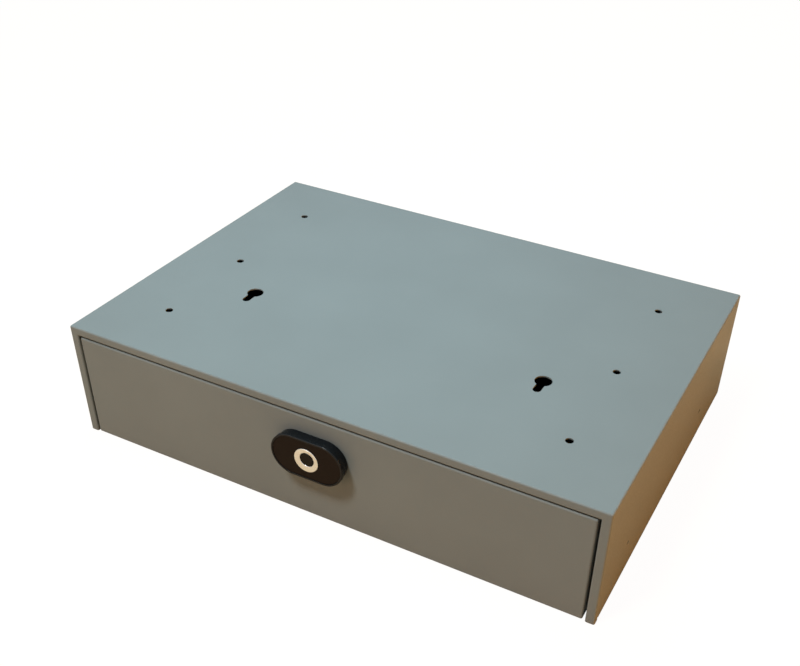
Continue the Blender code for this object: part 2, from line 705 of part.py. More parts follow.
def build_front(drawer):
    """The drawer's front, with four studs pressed into its back, and the nuts that hold the tray on them."""
    low, high = (-PANEL_SIDE, FRONT, FRONT_LIFT), (PANEL_SIDE, behind(FRONT_RETURN), PANEL_TOP)
    front = piece("drawer_front", pan(low, high, Y, 1, FRONT_SHEET), "powder_coat", drawer)
    thicken(front, FRONT_SHEET)
    root = behind(FRONT_SHEET / 2)
    fuse(front, *[rod(c, STUD_RADIUS, Y, root, root + STUD_LENGTH) for c in stud_centres()])
    near, far = FRONT - FRONT_SHEET, FRONT + 2 * FRONT_SHEET
    holes = [rod(centre, LOCK_SCREW_RADIUS + GAP, Y, near, far) for centre in lock_screw_centres()]
    cut(front, *holes, rod((0, LOCK_LEVEL), SENSOR_HOLE, Y, near, far))
    seat = TRAY_FRONT + TRAY_SHEET + GAP
    for centre in stud_centres():
        across = "left" if centre[0] < 0 else "right"
        level = "lower" if centre[1] == STUD_HEIGHTS[0] else "upper"
        solid = prism(hexagon(centre, NUT_RADIUS), Y, seat, seat + NUT_THICKNESS)
        nut = piece(f"front_nut_{across}_{level}", solid, "zinc_screw", drawer)
        cut(nut, rod(centre, STUD_RADIUS + GAP, Y, seat - GAP, seat + NUT_THICKNESS + GAP))


# Lock, outside


def shrunk(inset):
    """The lock's outline, drawn in by this much."""
    return stadium(LOCK_WIDTH - 2 * inset, LOCK_HEIGHT - 2 * inset, (0, LOCK_LEVEL))


def build_lock_face(drawer):
    centre = (0, LOCK_LEVEL)
    rim, bevel = LOCK_PROUD - LOCK_RIM_DEPTH, LOCK_RIM_BEVEL
    sections = (
        (shrunk(LOCK_WAIST), proud(GAP)),
        (shrunk(LOCK_WAIST), proud(rim)),
        (shrunk(0), proud(rim + LOCK_WAIST)),
        (shrunk(0), proud(LOCK_PROUD - bevel)),
        (shrunk(bevel * 0.3), proud(LOCK_PROUD - bevel * 0.3)),
        (shrunk(bevel), proud(LOCK_PROUD)),
    )
    escutcheon = piece("lock_escutcheon", loft(sections, Y), "black_paint", drawer)
    plate_face = LOCK_PROUD - PLATE_SUNK
    floor = plate_face - PLATE_THICKNESS - GAP
    ledge = LOCK_PROUD - RING_DEPTH - GAP
    cut(escutcheon, prism(shrunk(LOCK_RIM_WIDTH), Y, proud(LOCK_PROUD + GAP), proud(floor)))
    cut(escutcheon, rod(centre, RING_RADIUS + GAP, Y, proud(LOCK_PROUD), proud(ledge), steps=RING_STEPS))
    holes = [rod(centre, SENSOR_HOLE, Y, proud(LOCK_PROUD), FRONT)]
    for place in lock_screw_centres():
        deep = proud(LOCK_SCREW_DEPTH + 2 * GAP)
        holes.append(rod(place, LOCK_SCREW_RADIUS + GAP, Y, deep, FRONT, steps=SMALL_STEPS))
    cut(escutcheon, *holes)

    outline = shrunk(LOCK_RIM_WIDTH + GAP)
    solid = prism(outline, Y, proud(plate_face), proud(plate_face - PLATE_THICKNESS))
    plate = piece("lock_face_plate", solid, "black_gloss", drawer)
    near, far = proud(LOCK_PROUD), proud(floor)
    cut(plate, rod(centre, RING_RADIUS + GAP, Y, near, far, steps=RING_STEPS))

    edge = RING_DISH / 2
    sections = (
        (circle(centre, RING_RADIUS, RING_STEPS), proud(ledge + GAP)),
        (circle(centre, RING_RADIUS, RING_STEPS), proud(LOCK_PROUD - edge)),
        (circle(centre, RING_RADIUS - edge, RING_STEPS), proud(LOCK_PROUD)),
    )
    ring = piece("lock_ring", loft(sections, Y), "chrome", drawer)
    sections = (
        (circle(centre, RING_BORE, RING_STEPS), proud(ledge)),
        (circle(centre, RING_BORE, RING_STEPS), proud(LOCK_PROUD - 2 * RING_DISH)),
        (circle(centre, RING_RADIUS - 3 * edge, RING_STEPS), proud(LOCK_PROUD)),
        (circle(centre, RING_RADIUS - 3 * edge, RING_STEPS), proud(LOCK_PROUD + GAP)),
    )
    cut(ring, loft(sections, Y))

    sensor = (
        (circle(centre, SENSOR_RADIUS, RING_STEPS), BOARD_FRONT - GAP),
        (circle(centre, SENSOR_RADIUS, RING_STEPS), proud(LOCK_PROUD - RING_DISH - GAP)),
        (circle(centre, SENSOR_RADIUS - GAP, RING_STEPS), proud(LOCK_PROUD - RING_DISH)),
    )
    piece("lock_sensor", loft(sensor, Y), "sensor_glass", drawer)

    seat = CHASSIS_FRONT + CHASSIS_WALL + GAP
    length = seat - proud(LOCK_SCREW_DEPTH)
    head = (LOCK_SCREW_HEAD, LOCK_SCREW_HEAD_HEIGHT)
    for (name, _), place in zip(SIDES, lock_screw_centres()):
        solid = pan_head_screw(place, Y, seat, -1, LOCK_SCREW_RADIUS, *head, length)
        screw = piece(f"lock_screw_{name}", solid, "zinc_screw", drawer)
        cut(screw, socket(place, Y, seat, -1, *head))


# Lock, inside


def post_centres():
    """The four corners where the cover's screws go into the chassis."""
    across = CHASSIS_WIDTH / 2 - CHASSIS_WALL - POST_INSET
    low = CHASSIS_BOTTOM + CHASSIS_WALL + POST_INSET
    high = CHASSIS_TOP - CHASSIS_WALL - POST_INSET
    return {
        "left_lower": (-across, low), "left_upper": (-across, high),
        "right_lower": (across, low), "right_upper": (across, high),
    }


def build_chassis(drawer):
    """An open box with the bolt's guide, the motor's cradle, the board's standoffs and the cover's posts."""
    half, wall = CHASSIS_WIDTH / 2, CHASSIS_WALL
    low, high = (-half, CHASSIS_BOTTOM), (half, CHASSIS_TOP)
    outline = rounded(low, high, CHASSIS_CORNER)
    chassis = piece("lock_chassis", prism(outline, Y, CHASSIS_FRONT, CHASSIS_REAR), "grey_plastic", drawer)
    inside = rounded((low[0] + wall, low[1] + wall), (high[0] - wall, high[1] - wall), CHASSIS_CORNER - wall)
    cut(chassis, prism(inside, Y, CHASSIS_FRONT + wall, CHASSIS_REAR + wall))

    root = CHASSIS_FRONT + wall / 2
    corners, tip = post_centres().values(), CHASSIS_REAR - wall
    fuse(chassis, *[rod(corner, POST_RADIUS, Y, root, tip, steps=SMALL_STEPS) for corner in corners])

    channel, outer = BOLT_WIDTH / 2 + RUNNING, BOLT_WIDTH / 2 + RUNNING + GUIDE_WALL
    floor, roof = CHASSIS_BOTTOM + wall / 2, CHASSIS_TOP - wall / 2
    guide = [
        (-outer, BOLT_FRONT - RUNNING - GUIDE_WALL), (outer, BOLT_FRONT - RUNNING - GUIDE_WALL),
        (outer, BOLT_REAR), (channel, BOLT_REAR), (channel, BOLT_FRONT - RUNNING),
        (-channel, BOLT_FRONT - RUNNING), (-channel, BOLT_REAR), (-outer, BOLT_REAR),
    ]
    fuse(chassis, prism(guide, Z, floor, roof))
    sill = (-channel - wall / 2, BOLT_FRONT - RUNNING - wall / 2, floor)
    stop = box(sill, (channel + wall / 2, BOLT_REAR, BOLT_BOTTOM - GAP))
    cradles = []
    for x in (MOTOR_END - CRADLE_WIDTH - GEARBOX_LENGTH, MOTOR_END - MOTOR_LENGTH + CRADLE_WIDTH):
        back = PINION_Y + MOTOR_RADIUS
        front = (x - CRADLE_WIDTH / 2, PINION_Y - MOTOR_RADIUS, floor)
        cradles.append(box(front, (x + CRADLE_WIDTH / 2, back, PINION_LEVEL - MOTOR_FLAT / 2)))
    standoffs = [rod(c, POST_RADIUS, Y, root, BOARD_FRONT - GAP, steps=SMALL_STEPS) for c in board_feet()]
    fuse(chassis, stop, *cradles, *standoffs)

    motor = rod((PINION_Y, PINION_LEVEL), MOTOR_RADIUS + GAP, X, -half + wall, MOTOR_END + GAP)
    mouth = (
        (-channel, BOLT_FRONT - RUNNING, CHASSIS_TOP - 2 * wall),
        (channel, BOLT_REAR + RUNNING, CHASSIS_TOP + wall),
    )
    near, far = CHASSIS_FRONT - wall, CHASSIS_FRONT + 2 * wall
    holes = [rod((0, LOCK_LEVEL), SENSOR_HOLE, Y, near, far)]
    for place in lock_screw_centres():
        holes.append(rod(place, LOCK_SCREW_RADIUS + GAP, Y, near, far, steps=SMALL_STEPS))
    for place in corners:
        deep = CHASSIS_REAR - COVER_SCREW_LENGTH - wall
        holes.append(rod(place, COVER_SCREW_RADIUS + GAP, Y, deep, CHASSIS_REAR, steps=SMALL_STEPS))
    cut(chassis, motor, box(*mouth), *holes)


def board_feet():
    """The standoffs' centres, near the board's corners."""
    across, up = BOARD_WIDTH / 2 - POST_RADIUS, BOARD_HEIGHT / 2 - POST_RADIUS
    return [(x, LOCK_LEVEL + z) for x in (-across, across) for z in (-up, up)]


def build_board(drawer):
    """The circuit board, with its processor, the motor's connector and the battery's connector."""
    half, rise = BOARD_WIDTH / 2, BOARD_HEIGHT / 2
    outline = rounded((-half, LOCK_LEVEL - rise), (half, LOCK_LEVEL + rise), 2 * GAP)
    rear = BOARD_FRONT + BOARD_THICKNESS
    board = piece("lock_circuit_board", prism(outline, Y, BOARD_FRONT, rear), "board_green", drawer)
    parts = []
    for across, up, wide, high, tall in BOARD_PARTS:
        x, level = across * half, LOCK_LEVEL + up * rise
        front = (x - wide / 2, rear - BOARD_THICKNESS / 2, level - high / 2)
        parts.append(box(front, (x + wide / 2, rear + tall, level + high / 2)))
    fuse(board, *parts)


def build_motor(drawer):
    """A flat-sided geared motor along X: can, gearbox, and the hole that the pinion's shaft runs in."""
    centre = (PINION_Y, PINION_LEVEL)
    split, end = MOTOR_END - GEARBOX_LENGTH, MOTOR_END - MOTOR_LENGTH
    can = [
        (y, min(max(z, PINION_LEVEL - MOTOR_FLAT), PINION_LEVEL + MOTOR_FLAT))
        for y, z in circle(centre, MOTOR_RADIUS)
    ]
    motor = piece("lock_motor", prism(can, X, end, split + GAP), "galvanised", drawer)
    low = (split, PINION_Y - MOTOR_RADIUS + GAP, PINION_LEVEL - MOTOR_FLAT + GAP)
    gearbox = box(low, (MOTOR_END, PINION_Y + MOTOR_RADIUS - GAP, PINION_LEVEL + MOTOR_FLAT - GAP))
    tail = rod(centre, MOTOR_RADIUS / 3, X, end - MOTOR_TAIL, end + GAP, steps=SMALL_STEPS)
    fuse(motor, gearbox, tail)
    bore = rod(centre, SHAFT_RADIUS + RUNNING, X, MOTOR_END - GEARBOX_LENGTH / 2, MOTOR_END + GAP)
    cut(motor, bore)


def build_battery(drawer):
    """A flat cell on edge against the chassis's right wall, between the cover's posts."""
    right = CHASSIS_WIDTH / 2 - CHASSIS_WALL - GAP
    middle = (CHASSIS_BOTTOM + CHASSIS_TOP) / 2
    near = CHASSIS_FRONT + CHASSIS_WALL + GAP
    low = (right - BATTERY_THICKNESS, middle - BATTERY_HEIGHT / 2)
    outline = rounded(low, (right, middle + BATTERY_HEIGHT / 2), BATTERY_THICKNESS / 4)
    piece("lock_battery", prism(outline, Y, near, near + BATTERY_DEPTH), "cell_wrap", drawer)


def build_cover(drawer):
    """The chassis's rear cover and its four screws."""
    half, near = CHASSIS_WIDTH / 2, CHASSIS_REAR + GAP
    outline = rounded((-half, CHASSIS_BOTTOM), (half, CHASSIS_TOP), CHASSIS_CORNER)
    cover = piece("lock_cover", prism(outline, Y, near, near + COVER_THICKNESS), "grey_plastic", drawer)
    places = post_centres()
    far = near + COVER_THICKNESS + GAP
    hole = COVER_SCREW_RADIUS + GAP
    cut(cover, *[rod(c, hole, Y, near - GAP, far, steps=SMALL_STEPS) for c in places.values()])
    head = (COVER_SCREW_HEAD, COVER_SCREW_HEAD_HEIGHT)
    for name, centre in places.items():
        solid = pan_head_screw(centre, Y, far, -1, COVER_SCREW_RADIUS, *head, COVER_SCREW_LENGTH)
        screw = piece(f"cover_screw_{name}", solid, "zinc_screw", drawer)
        cut(screw, socket(centre, Y, far, -1, *head))


# Bolt and pinion: involute teeth against a straight rack


def rack_outline():
    """The bolt's rack in (y, z): its root plane is the bolt's rear face, and one tooth faces the pinion."""
    pitch = math.pi * MODULE
    root, line = BOLT_REAR, PINION_Y - PITCH_RADIUS
    tip = line + ADDENDUM * MODULE
    half = pitch / 4 - BACKLASH / 4
    slope = math.tan(PRESSURE_ANGLE)
    below = math.ceil(BOLT_TRAVEL / pitch) + 1
    points = [(root - BOLT_THICKNESS / 4, PINION_LEVEL - (below + 0.5) * pitch)]
    for k in range(-below, 2):
        z = PINION_LEVEL + k * pitch
        wide, narrow = half + (line - root) * slope, half - (tip - line) * slope
        points += [(root, z - wide), (tip, z - narrow), (tip, z + narrow), (root, z + wide)]
    points.append((root - BOLT_THICKNESS / 4, PINION_LEVEL + 1.5 * pitch))
    return points


def pinion_outline():
    """Involute teeth in (y, z), with a space between two of them facing the rack."""
    base = PITCH_RADIUS * math.cos(PRESSURE_ANGLE)
    tip = PITCH_RADIUS + ADDENDUM * MODULE
    root = PITCH_RADIUS - (ADDENDUM + TIP_CLEARANCE) * MODULE

    def involute(radius):
        angle = math.acos(min(1, base / radius))
        return math.tan(angle) - angle

    half = (math.pi * MODULE / 2 - BACKLASH / 2) / (2 * PITCH_RADIUS) + involute(PITCH_RADIUS)
    radii = [base + (tip - base) * i / 4 for i in range(5)]
    flank = [(root, half)] + [(radius, half - involute(radius)) for radius in radii]
    points = []
    for k in range(TEETH):
        middle = math.pi + (k + 0.5) * 2 * math.pi / TEETH
        tooth = [(r, middle - turn) for r, turn in flank]
        tooth += [(r, middle + turn) for r, turn in reversed(flank)]
        points += [(PINION_Y + r * math.cos(t), PINION_LEVEL + r * math.sin(t)) for r, t in tooth]
    return points


def build_bolt(bolt):
    low, high = (-BOLT_WIDTH / 2, BOLT_FRONT, BOLT_BOTTOM), (BOLT_WIDTH / 2, BOLT_REAR, BOLT_TOP)
    solid = box(low, high)
    top = [e for e in solid.edges if all(v.co.z > BOLT_TOP - GAP for v in e.verts)]
    bmesh.ops.bevel(solid, geom=top, offset=BOLT_THICKNESS / 5, segments=1, affect="EDGES")
    latch = piece("lock_bolt", solid, "galvanised", bolt)
    right = -BOLT_WIDTH / 2 + PINION_WIDTH + RUNNING
    fuse(latch, prism(rack_outline(), X, -BOLT_WIDTH / 2 + RUNNING, right))


def build_pinion(pinion):
    """The pinion, moulded round its shaft, which runs into the gearbox."""
    start, end = -BOLT_WIDTH / 2, -BOLT_WIDTH / 2 + PINION_WIDTH
    gear = piece("lock_pinion", prism(pinion_outline(), X, start, end), "nylon", pinion)
    depth = GEARBOX_LENGTH / 2 - GAP
    centre = (PINION_Y, PINION_LEVEL)
    fuse(gear, rod(centre, SHAFT_RADIUS, X, MOTOR_END - depth, end + SHAFT_STUB))


def main():
    clear_scene()
    case = body("case")
    drawer = body("drawer", (0, FRONT, SLIDE_LEVEL), case)
    bolt = body("bolt", (0, BOLT_FRONT, BOLT_BOTTOM), drawer)
    pinion = body("pinion", (-BOLT_WIDTH / 2, PINION_Y, PINION_LEVEL), drawer)
    build_case(case)
    build_strike(case)
    for name, side in SIDES:
        cage = body(f"cage_{name}", (side * (SLIDE_BACK - BALL_ACROSS), FRONT, SLIDE_LEVEL), case)
        build_slide(name, side, case, drawer, cage)
    build_tray(drawer)
    build_front(drawer)
    build_lock_face(drawer)
    build_chassis(drawer)
    build_board(drawer)
    build_motor(drawer)
    build_battery(drawer)
    build_cover(drawer)
    build_bolt(bolt)
    build_pinion(pinion)


main()
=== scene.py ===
"""Looks of the under desk drawer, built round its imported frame.

Powder-coated folded sheet, a pair of ball-bearing slides and a finger lock, in a plain studio.
"""

import json
import logging
import math
from collections.abc import Callable, Iterator
from contextlib import contextmanager
from dataclasses import dataclass, field
from enum import Enum

import bmesh
import bpy
from mathutils import Matrix, Vector


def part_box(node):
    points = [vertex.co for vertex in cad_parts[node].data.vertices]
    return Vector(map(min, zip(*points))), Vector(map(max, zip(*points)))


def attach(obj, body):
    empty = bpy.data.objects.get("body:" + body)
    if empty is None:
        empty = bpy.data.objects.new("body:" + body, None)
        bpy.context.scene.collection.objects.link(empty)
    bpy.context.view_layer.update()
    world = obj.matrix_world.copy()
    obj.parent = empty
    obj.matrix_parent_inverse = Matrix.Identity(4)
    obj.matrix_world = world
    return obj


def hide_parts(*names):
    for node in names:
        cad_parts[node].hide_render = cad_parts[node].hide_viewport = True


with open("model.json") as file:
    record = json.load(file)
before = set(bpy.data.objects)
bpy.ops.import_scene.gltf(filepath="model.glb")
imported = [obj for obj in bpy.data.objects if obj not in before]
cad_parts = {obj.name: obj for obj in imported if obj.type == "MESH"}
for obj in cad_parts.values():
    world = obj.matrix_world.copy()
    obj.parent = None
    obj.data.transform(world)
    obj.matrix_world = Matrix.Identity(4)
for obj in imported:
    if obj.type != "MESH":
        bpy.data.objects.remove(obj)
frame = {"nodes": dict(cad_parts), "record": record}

Piece = bpy.types.Object
Socket = bpy.types.NodeSocket
Triple = tuple[float, float, float]
Quad = tuple[float, float, float, float]

LOG = logging.getLogger("drawer")
MM = 0.001
NEAR = 0.01 * MM  # closer than this is at the same place
WELD = 0.001 * MM  # vertices closer than this become one
SMOOTH = math.radians(40)  # what turns more than this is an edge or a bend
FLAT = math.radians(0.5)  # what turns less than this is one flat face
FACING = 0.9  # the least share of a face's normal along the way that it looks
FACE_WEIGHT = 100  # large faces decide how the edges beside them are shaded
ROUND = 0.5  # the profile of a bevel that is an arc
INNER_BEND = 0.25 * MM  # the inner radius of a fold in sheet
BEND_STEPS = 7
NOISE_LOW, NOISE_HIGH = 0.3, 0.7  # nearly all of a noise lies between them
EVEN = (1, 1, 1)  # a noise that isn't drawn out into lines
WHITE = (1, 1, 1, 1)
SIDES = (("left", -1), ("right", 1))
LEVELS = ("lower", "upper")


class Body(str, Enum):
    """The frame's moving bodies."""

    CASE = "case"
    DRAWER = "drawer"
    CAGE_LEFT = "cage_left"
    CAGE_RIGHT = "cage_right"
    BOLT = "bolt"
    PINION = "pinion"


class Select(str, Enum):
    """What an edit works on."""

    VERTS = "VERT"
    EDGES = "EDGE"
    FACES = "FACE"


class Axis(int, Enum):
    """The frame's axes: X to the right, Y to the back and Z up."""

    X = 0
    Y = 1
    Z = 2


class Circle(int, Enum):
    """How many sides a circle gets."""

    SMALL_HOLE = 32
    SCREW_HOLE = 40
    SLOT = 48
    ENTRY = 64
    RING = 96


class Edge(Enum):
    """How edges are rounded: the width, the steps, and the least angle of such an edge in degrees."""

    CUT_SHEET = (0.12 * MM, 2, 50)
    THIN_SHEET = (0.10 * MM, 2, 50)
    CAGE = (0.08 * MM, 2, 50)
    FINE = (0.08 * MM, 2, 60)
    NUT = (0.35 * MM, 2, 45)
    SCREW = (0.10 * MM, 2, 35)
    SMALL_SCREW = (0.08 * MM, 2, 35)
    RUBBER = (0.30 * MM, 2, 50)
    HOUSING = (0.25 * MM, 2, 60)
    COVER = (0.40 * MM, 2, 60)
    CELL = (0.50 * MM, 2, 60)
    BOLT = (0.12 * MM, 2, 60)
    CAST_BODY = (0.15 * MM, 3, 55)
    FACE_PLATE = (0.12 * MM, 3, 50)
    RING = (0.22 * MM, 4, 25)
    SENSOR = (0.25 * MM, 4, 60)


# Materials


class Graph:
    """A material's nodes, on the piece's own Object coordinates."""

    def __init__(self, name: str) -> None:
        """Starts a material with one Principled shader.

        Args:
            name: the material's name.
        """
        self.material = bpy.data.materials.new(name)
        self.material.use_nodes = True
        self.nodes = self.material.node_tree.nodes
        self.links = self.material.node_tree.links
        self.shader = self.nodes["Principled BSDF"]
        self.place = self.nodes.new("ShaderNodeTexCoord").outputs["Object"]

    def stretched(self, scale: Triple) -> Socket:
        """Coordinates scaled unequally, which draws a noise out into lines.

        Args:
            scale: the factor along X, Y and Z.

        Returns:
            The scaled coordinates.
        """
        mapping = self.nodes.new("ShaderNodeMapping")
        mapping.inputs["Scale"].default_value = scale
        self.links.new(self.place, mapping.inputs["Vector"])
        return mapping.outputs["Vector"]

    def noise(self, scale: float, detail: float = 2.0, place: Socket | None = None) -> Socket:
        """A noise value.

        Args:
            scale: waves per metre.
            detail: octaves.
            place: coordinates other than the piece's own.

        Returns:
            The noise, from 0 to 1 and mostly near 0.5.
        """
        node = self.nodes.new("ShaderNodeTexNoise")
        node.inputs["Scale"].default_value = scale
        node.inputs["Detail"].default_value = detail
        self.links.new(place or self.place, node.inputs["Vector"])
        return node.outputs["Fac"]

    def cells(self, scale: float) -> Socket:
        """Pits round scattered points.

        Args:
            scale: points to a metre.

        Returns:
            The distance to the nearest point.
        """
        node = self.nodes.new("ShaderNodeTexVoronoi")
        node.inputs["Scale"].default_value = scale
        self.links.new(self.place, node.inputs["Vector"])
        return node.outputs["Distance"]

    def ranged(self, value: Socket, low: float, high: float) -> Socket:
        """Spreads the middle of a noise over a range.

        Args:
            value: a noise value.
            low: what its low end becomes.
            high: what its high end becomes.

        Returns:
            The spread value, kept within the range.
        """
        node = self.nodes.new("ShaderNodeMapRange")
        node.inputs["From Min"].default_value = NOISE_LOW
        node.inputs["From Max"].default_value = NOISE_HIGH
        node.inputs["To Min"].default_value = low
        node.inputs["To Max"].default_value = high
        self.links.new(value, node.inputs["Value"])
        return node.outputs["Result"]

    def tinted(self, colour: Triple, value: Socket, spread: float) -> Socket:
        """A colour that a noise lightens and darkens.

        Args:
            colour: the middle colour.
            value: the noise.
            spread: the share by which it varies either way.

        Returns:
            The varied colour.
        """
        node = self.nodes.new("ShaderNodeValToRGB")
        stops = node.color_ramp.elements
        stops[0].position, stops[1].position = NOISE_LOW, NOISE_HIGH
        stops[0].color = (*(c * (1 - spread) for c in colour), 1)
        stops[1].color = (*(min(1, c * (1 + spread)) for c in colour), 1)
        self.links.new(value, node.inputs["Fac"])
        return node.outputs["Color"]

    def clouded(self, colour: Socket, value: Socket, spread: float) -> Socket:
        """A varying colour that a broad noise darkens a little more.

        Args:
            colour: the colour.
            value: the broad noise.
            spread: half of the share by which it darkens most.

        Returns:
            The clouded colour.
        """
        node = self.nodes.new("ShaderNodeMix")
        node.data_type = "RGBA"
        node.blend_type = "MULTIPLY"
        node.inputs["Factor"].default_value = 1
        self.links.new(colour, node.inputs["A"])
        self.links.new(self.tinted((1 - spread,) * 3, value, spread), node.inputs["B"])
        return node.outputs["Result"]

    def bumps(self, *layers: tuple[Socket, float, float]) -> None:
        """Adds relief to the surface.

        Args:
            layers: each a height, a strength and the height's size in metres.
        """
        normal = None
        for height, strength, distance in layers:
            node = self.nodes.new("ShaderNodeBump")
            node.inputs["Strength"].default_value = strength
            node.inputs["Distance"].default_value = distance
            self.links.new(height, node.inputs["Height"])
            if normal:
                self.links.new(normal, node.inputs["Normal"])
            normal = node.outputs["Normal"]
        self.links.new(normal, self.shader.inputs["Normal"])

    def wire(self, **sockets: Socket) -> None:
        """Joins values to the shader's sockets, named with _ for a space."""
        for name, value in sockets.items():
            self.links.new(value, self.shader.inputs[name.replace("_", " ").title()])

    def fixed(self, **values: float | Quad) -> None:
        """Sets the shader's own sockets, named with _ for a space."""
        for name, value in values.items():
            self.shader.inputs[name.replace("_", " ")].default_value = value


@dataclass(frozen=True)
class PowderCoat:
    """Baked powder paint on folded sheet: an even satin skin with fine grain and a little orange peel."""

    name: str = "grey powder coat"
    colour: Triple = (0.215, 0.246, 0.250)
    roughness: tuple[float, float] = (0.29, 0.41)
    grain: float = 2600
    grain_tint: float = 0.10
    grain_relief: tuple[float, float] = (0.35, 0.03 * MM)
    haze: float = 2600 / 3
    peel: float = 420
    peel_relief: tuple[float, float] = (0.25, 0.04 * MM)
    mottle: float = 14
    mottle_tint: float = 0.03
    gloss: float = 0.08

    def material(self) -> bpy.types.Material:
        """Builds the paint's nodes.

        Returns:
            The paint.
        """
        graph = Graph(self.name)
        fine, broad = graph.noise(self.grain, detail=2), graph.noise(self.mottle, detail=3)
        shade = graph.tinted(self.colour, fine, self.grain_tint)
        graph.wire(base_color=graph.clouded(shade, broad, self.mottle_tint))
        haze = graph.noise(self.haze, detail=3)
        graph.wire(roughness=graph.ranged(haze, *self.roughness))
        graph.bumps((fine, *self.grain_relief), (graph.noise(self.peel, detail=2), *self.peel_relief))
        graph.fixed(Specular_IOR_Level=self.gloss)
        return graph.material


@dataclass(frozen=True)
class PlatedSteel:
    """Zinc-plated or polished steel, with drawing lines along the length of a rolled section."""

    name: str
    colour: Triple
    roughness: tuple[float, float]
    lines: Triple = (1, 0.02, 1)
    depth: float = 0.2
    line_scale: float = 3200
    line_tint: float = 0.08
    line_height: float = 0.02 * MM
    cloud: float = 60
    cloud_tint: float = 0.05

    def material(self) -> bpy.types.Material:
        """Builds the metal's nodes.

        Returns:
            The metal.
        """
        graph = Graph(self.name)
        drawn = graph.noise(self.line_scale, detail=3, place=graph.stretched(self.lines))
        cloud = graph.noise(self.cloud, detail=4)
        metal = graph.tinted(self.colour, drawn, self.line_tint)
        graph.wire(base_color=graph.clouded(metal, cloud, self.cloud_tint))
        graph.wire(roughness=graph.ranged(cloud, *self.roughness))
        graph.bumps((drawn, self.depth, self.line_height))
        graph.fixed(Metallic=1.0)
        return graph.material


@dataclass(frozen=True)
class Lacquer:
    """Black paint on the lock's cast body: satin, with a very fine grain."""

    name: str = "satin black lacquer"
    colour: Triple = (0.005, 0.007, 0.009)
    roughness: tuple[float, float] = (0.17, 0.30)
    grain: float = 5200
    grain_tint: float = 0.25
    grain_relief: tuple[float, float] = (0.30, 0.02 * MM)
    haze: float = 900
    gloss: float = 0.20

    def material(self) -> bpy.types.Material:
        """Builds the lacquer's nodes.

        Returns:
            The lacquer.
        """
        graph = Graph(self.name)
        fine = graph.noise(self.grain, detail=2)
        graph.wire(base_color=graph.tinted(self.colour, fine, self.grain_tint))
        haze = graph.noise(self.haze, detail=3)
        graph.wire(roughness=graph.ranged(haze, *self.roughness))
        graph.bumps((fine, *self.grain_relief))
        graph.fixed(Specular_IOR_Level=self.gloss)
        return graph.material


@dataclass(frozen=True)
class FacePlate:
    """The lock's inset plate: near-black with a fine etched grain that catches warm light."""

    name: str = "etched black plate"
    colour: Triple = (0.013, 0.0085, 0.0062)
    roughness: tuple[float, float] = (0.34, 0.52)
    etch: float = 2400
    etch_relief: tuple[float, float] = (0.45, 0.05 * MM)
    grain: float = 4800
    grain_tint: float = 0.35
    grain_relief: tuple[float, float] = (0.2, 0.02 * MM)
    gloss: float = 0.06

    def material(self) -> bpy.types.Material:
        """Builds the plate's nodes.

        Returns:
            The plate's finish.
        """
        graph = Graph(self.name)
        pits, fine = graph.cells(self.etch), graph.noise(self.grain, detail=2)
        graph.wire(base_color=graph.tinted(self.colour, fine, self.grain_tint))
        graph.wire(roughness=graph.ranged(fine, *self.roughness))
        graph.bumps((pits, *self.etch_relief), (fine, *self.grain_relief))
        graph.fixed(Specular_IOR_Level=self.gloss)
        return graph.material


@dataclass(frozen=True)
class Plain:
    """Moulded, wrapped or coated stuff: one colour with a moulded grain."""

    name: str
    colour: Triple
    roughness: tuple[float, float]
    grain: float
    depth: float = 0.25
    height: float = 0.04 * MM
    spread: float = 0.12
    cloud_share: float = 1 / 40
    cloud_tint: float = 0.05
    gloss: float = 0.5

    def material(self) -> bpy.types.Material:
        """Builds the stuff's nodes.

        Returns:
            The stuff.
        """
        graph = Graph(self.name)
        fine, broad = graph.noise(self.grain, detail=3), graph.noise(self.grain * self.cloud_share, detail=2)
        stuff = graph.tinted(self.colour, fine, self.spread)
        graph.wire(base_color=graph.clouded(stuff, broad, self.cloud_tint))
        graph.wire(roughness=graph.ranged(broad, *self.roughness))
        graph.bumps((fine, self.depth, self.height))
        graph.fixed(Specular_IOR_Level=self.gloss)
        return graph.material


@dataclass(frozen=True)
class SolderResist:
    """A circuit board's green resist over its tracks."""

    name: str = "green solder resist"
    colour: Triple = (0.02, 0.15, 0.06)
    track: float = 700
    lines: Triple = (1, 1, 0.15)
    track_tint: float = 0.45
    track_relief: tuple[float, float] = (0.5, 0.05 * MM)
    roughness: tuple[float, float] = (0.25, 0.45)

    def material(self) -> bpy.types.Material:
        """Builds the board's nodes.

        Returns:
            The resist.
        """
        graph = Graph(self.name)
        tracks = graph.noise(self.track, detail=0, place=graph.stretched(self.lines))
        graph.wire(base_color=graph.tinted(self.colour, tracks, self.track_tint))
        graph.wire(roughness=graph.ranged(tracks, *self.roughness))
        graph.bumps((tracks, *self.track_relief))
        return graph.material


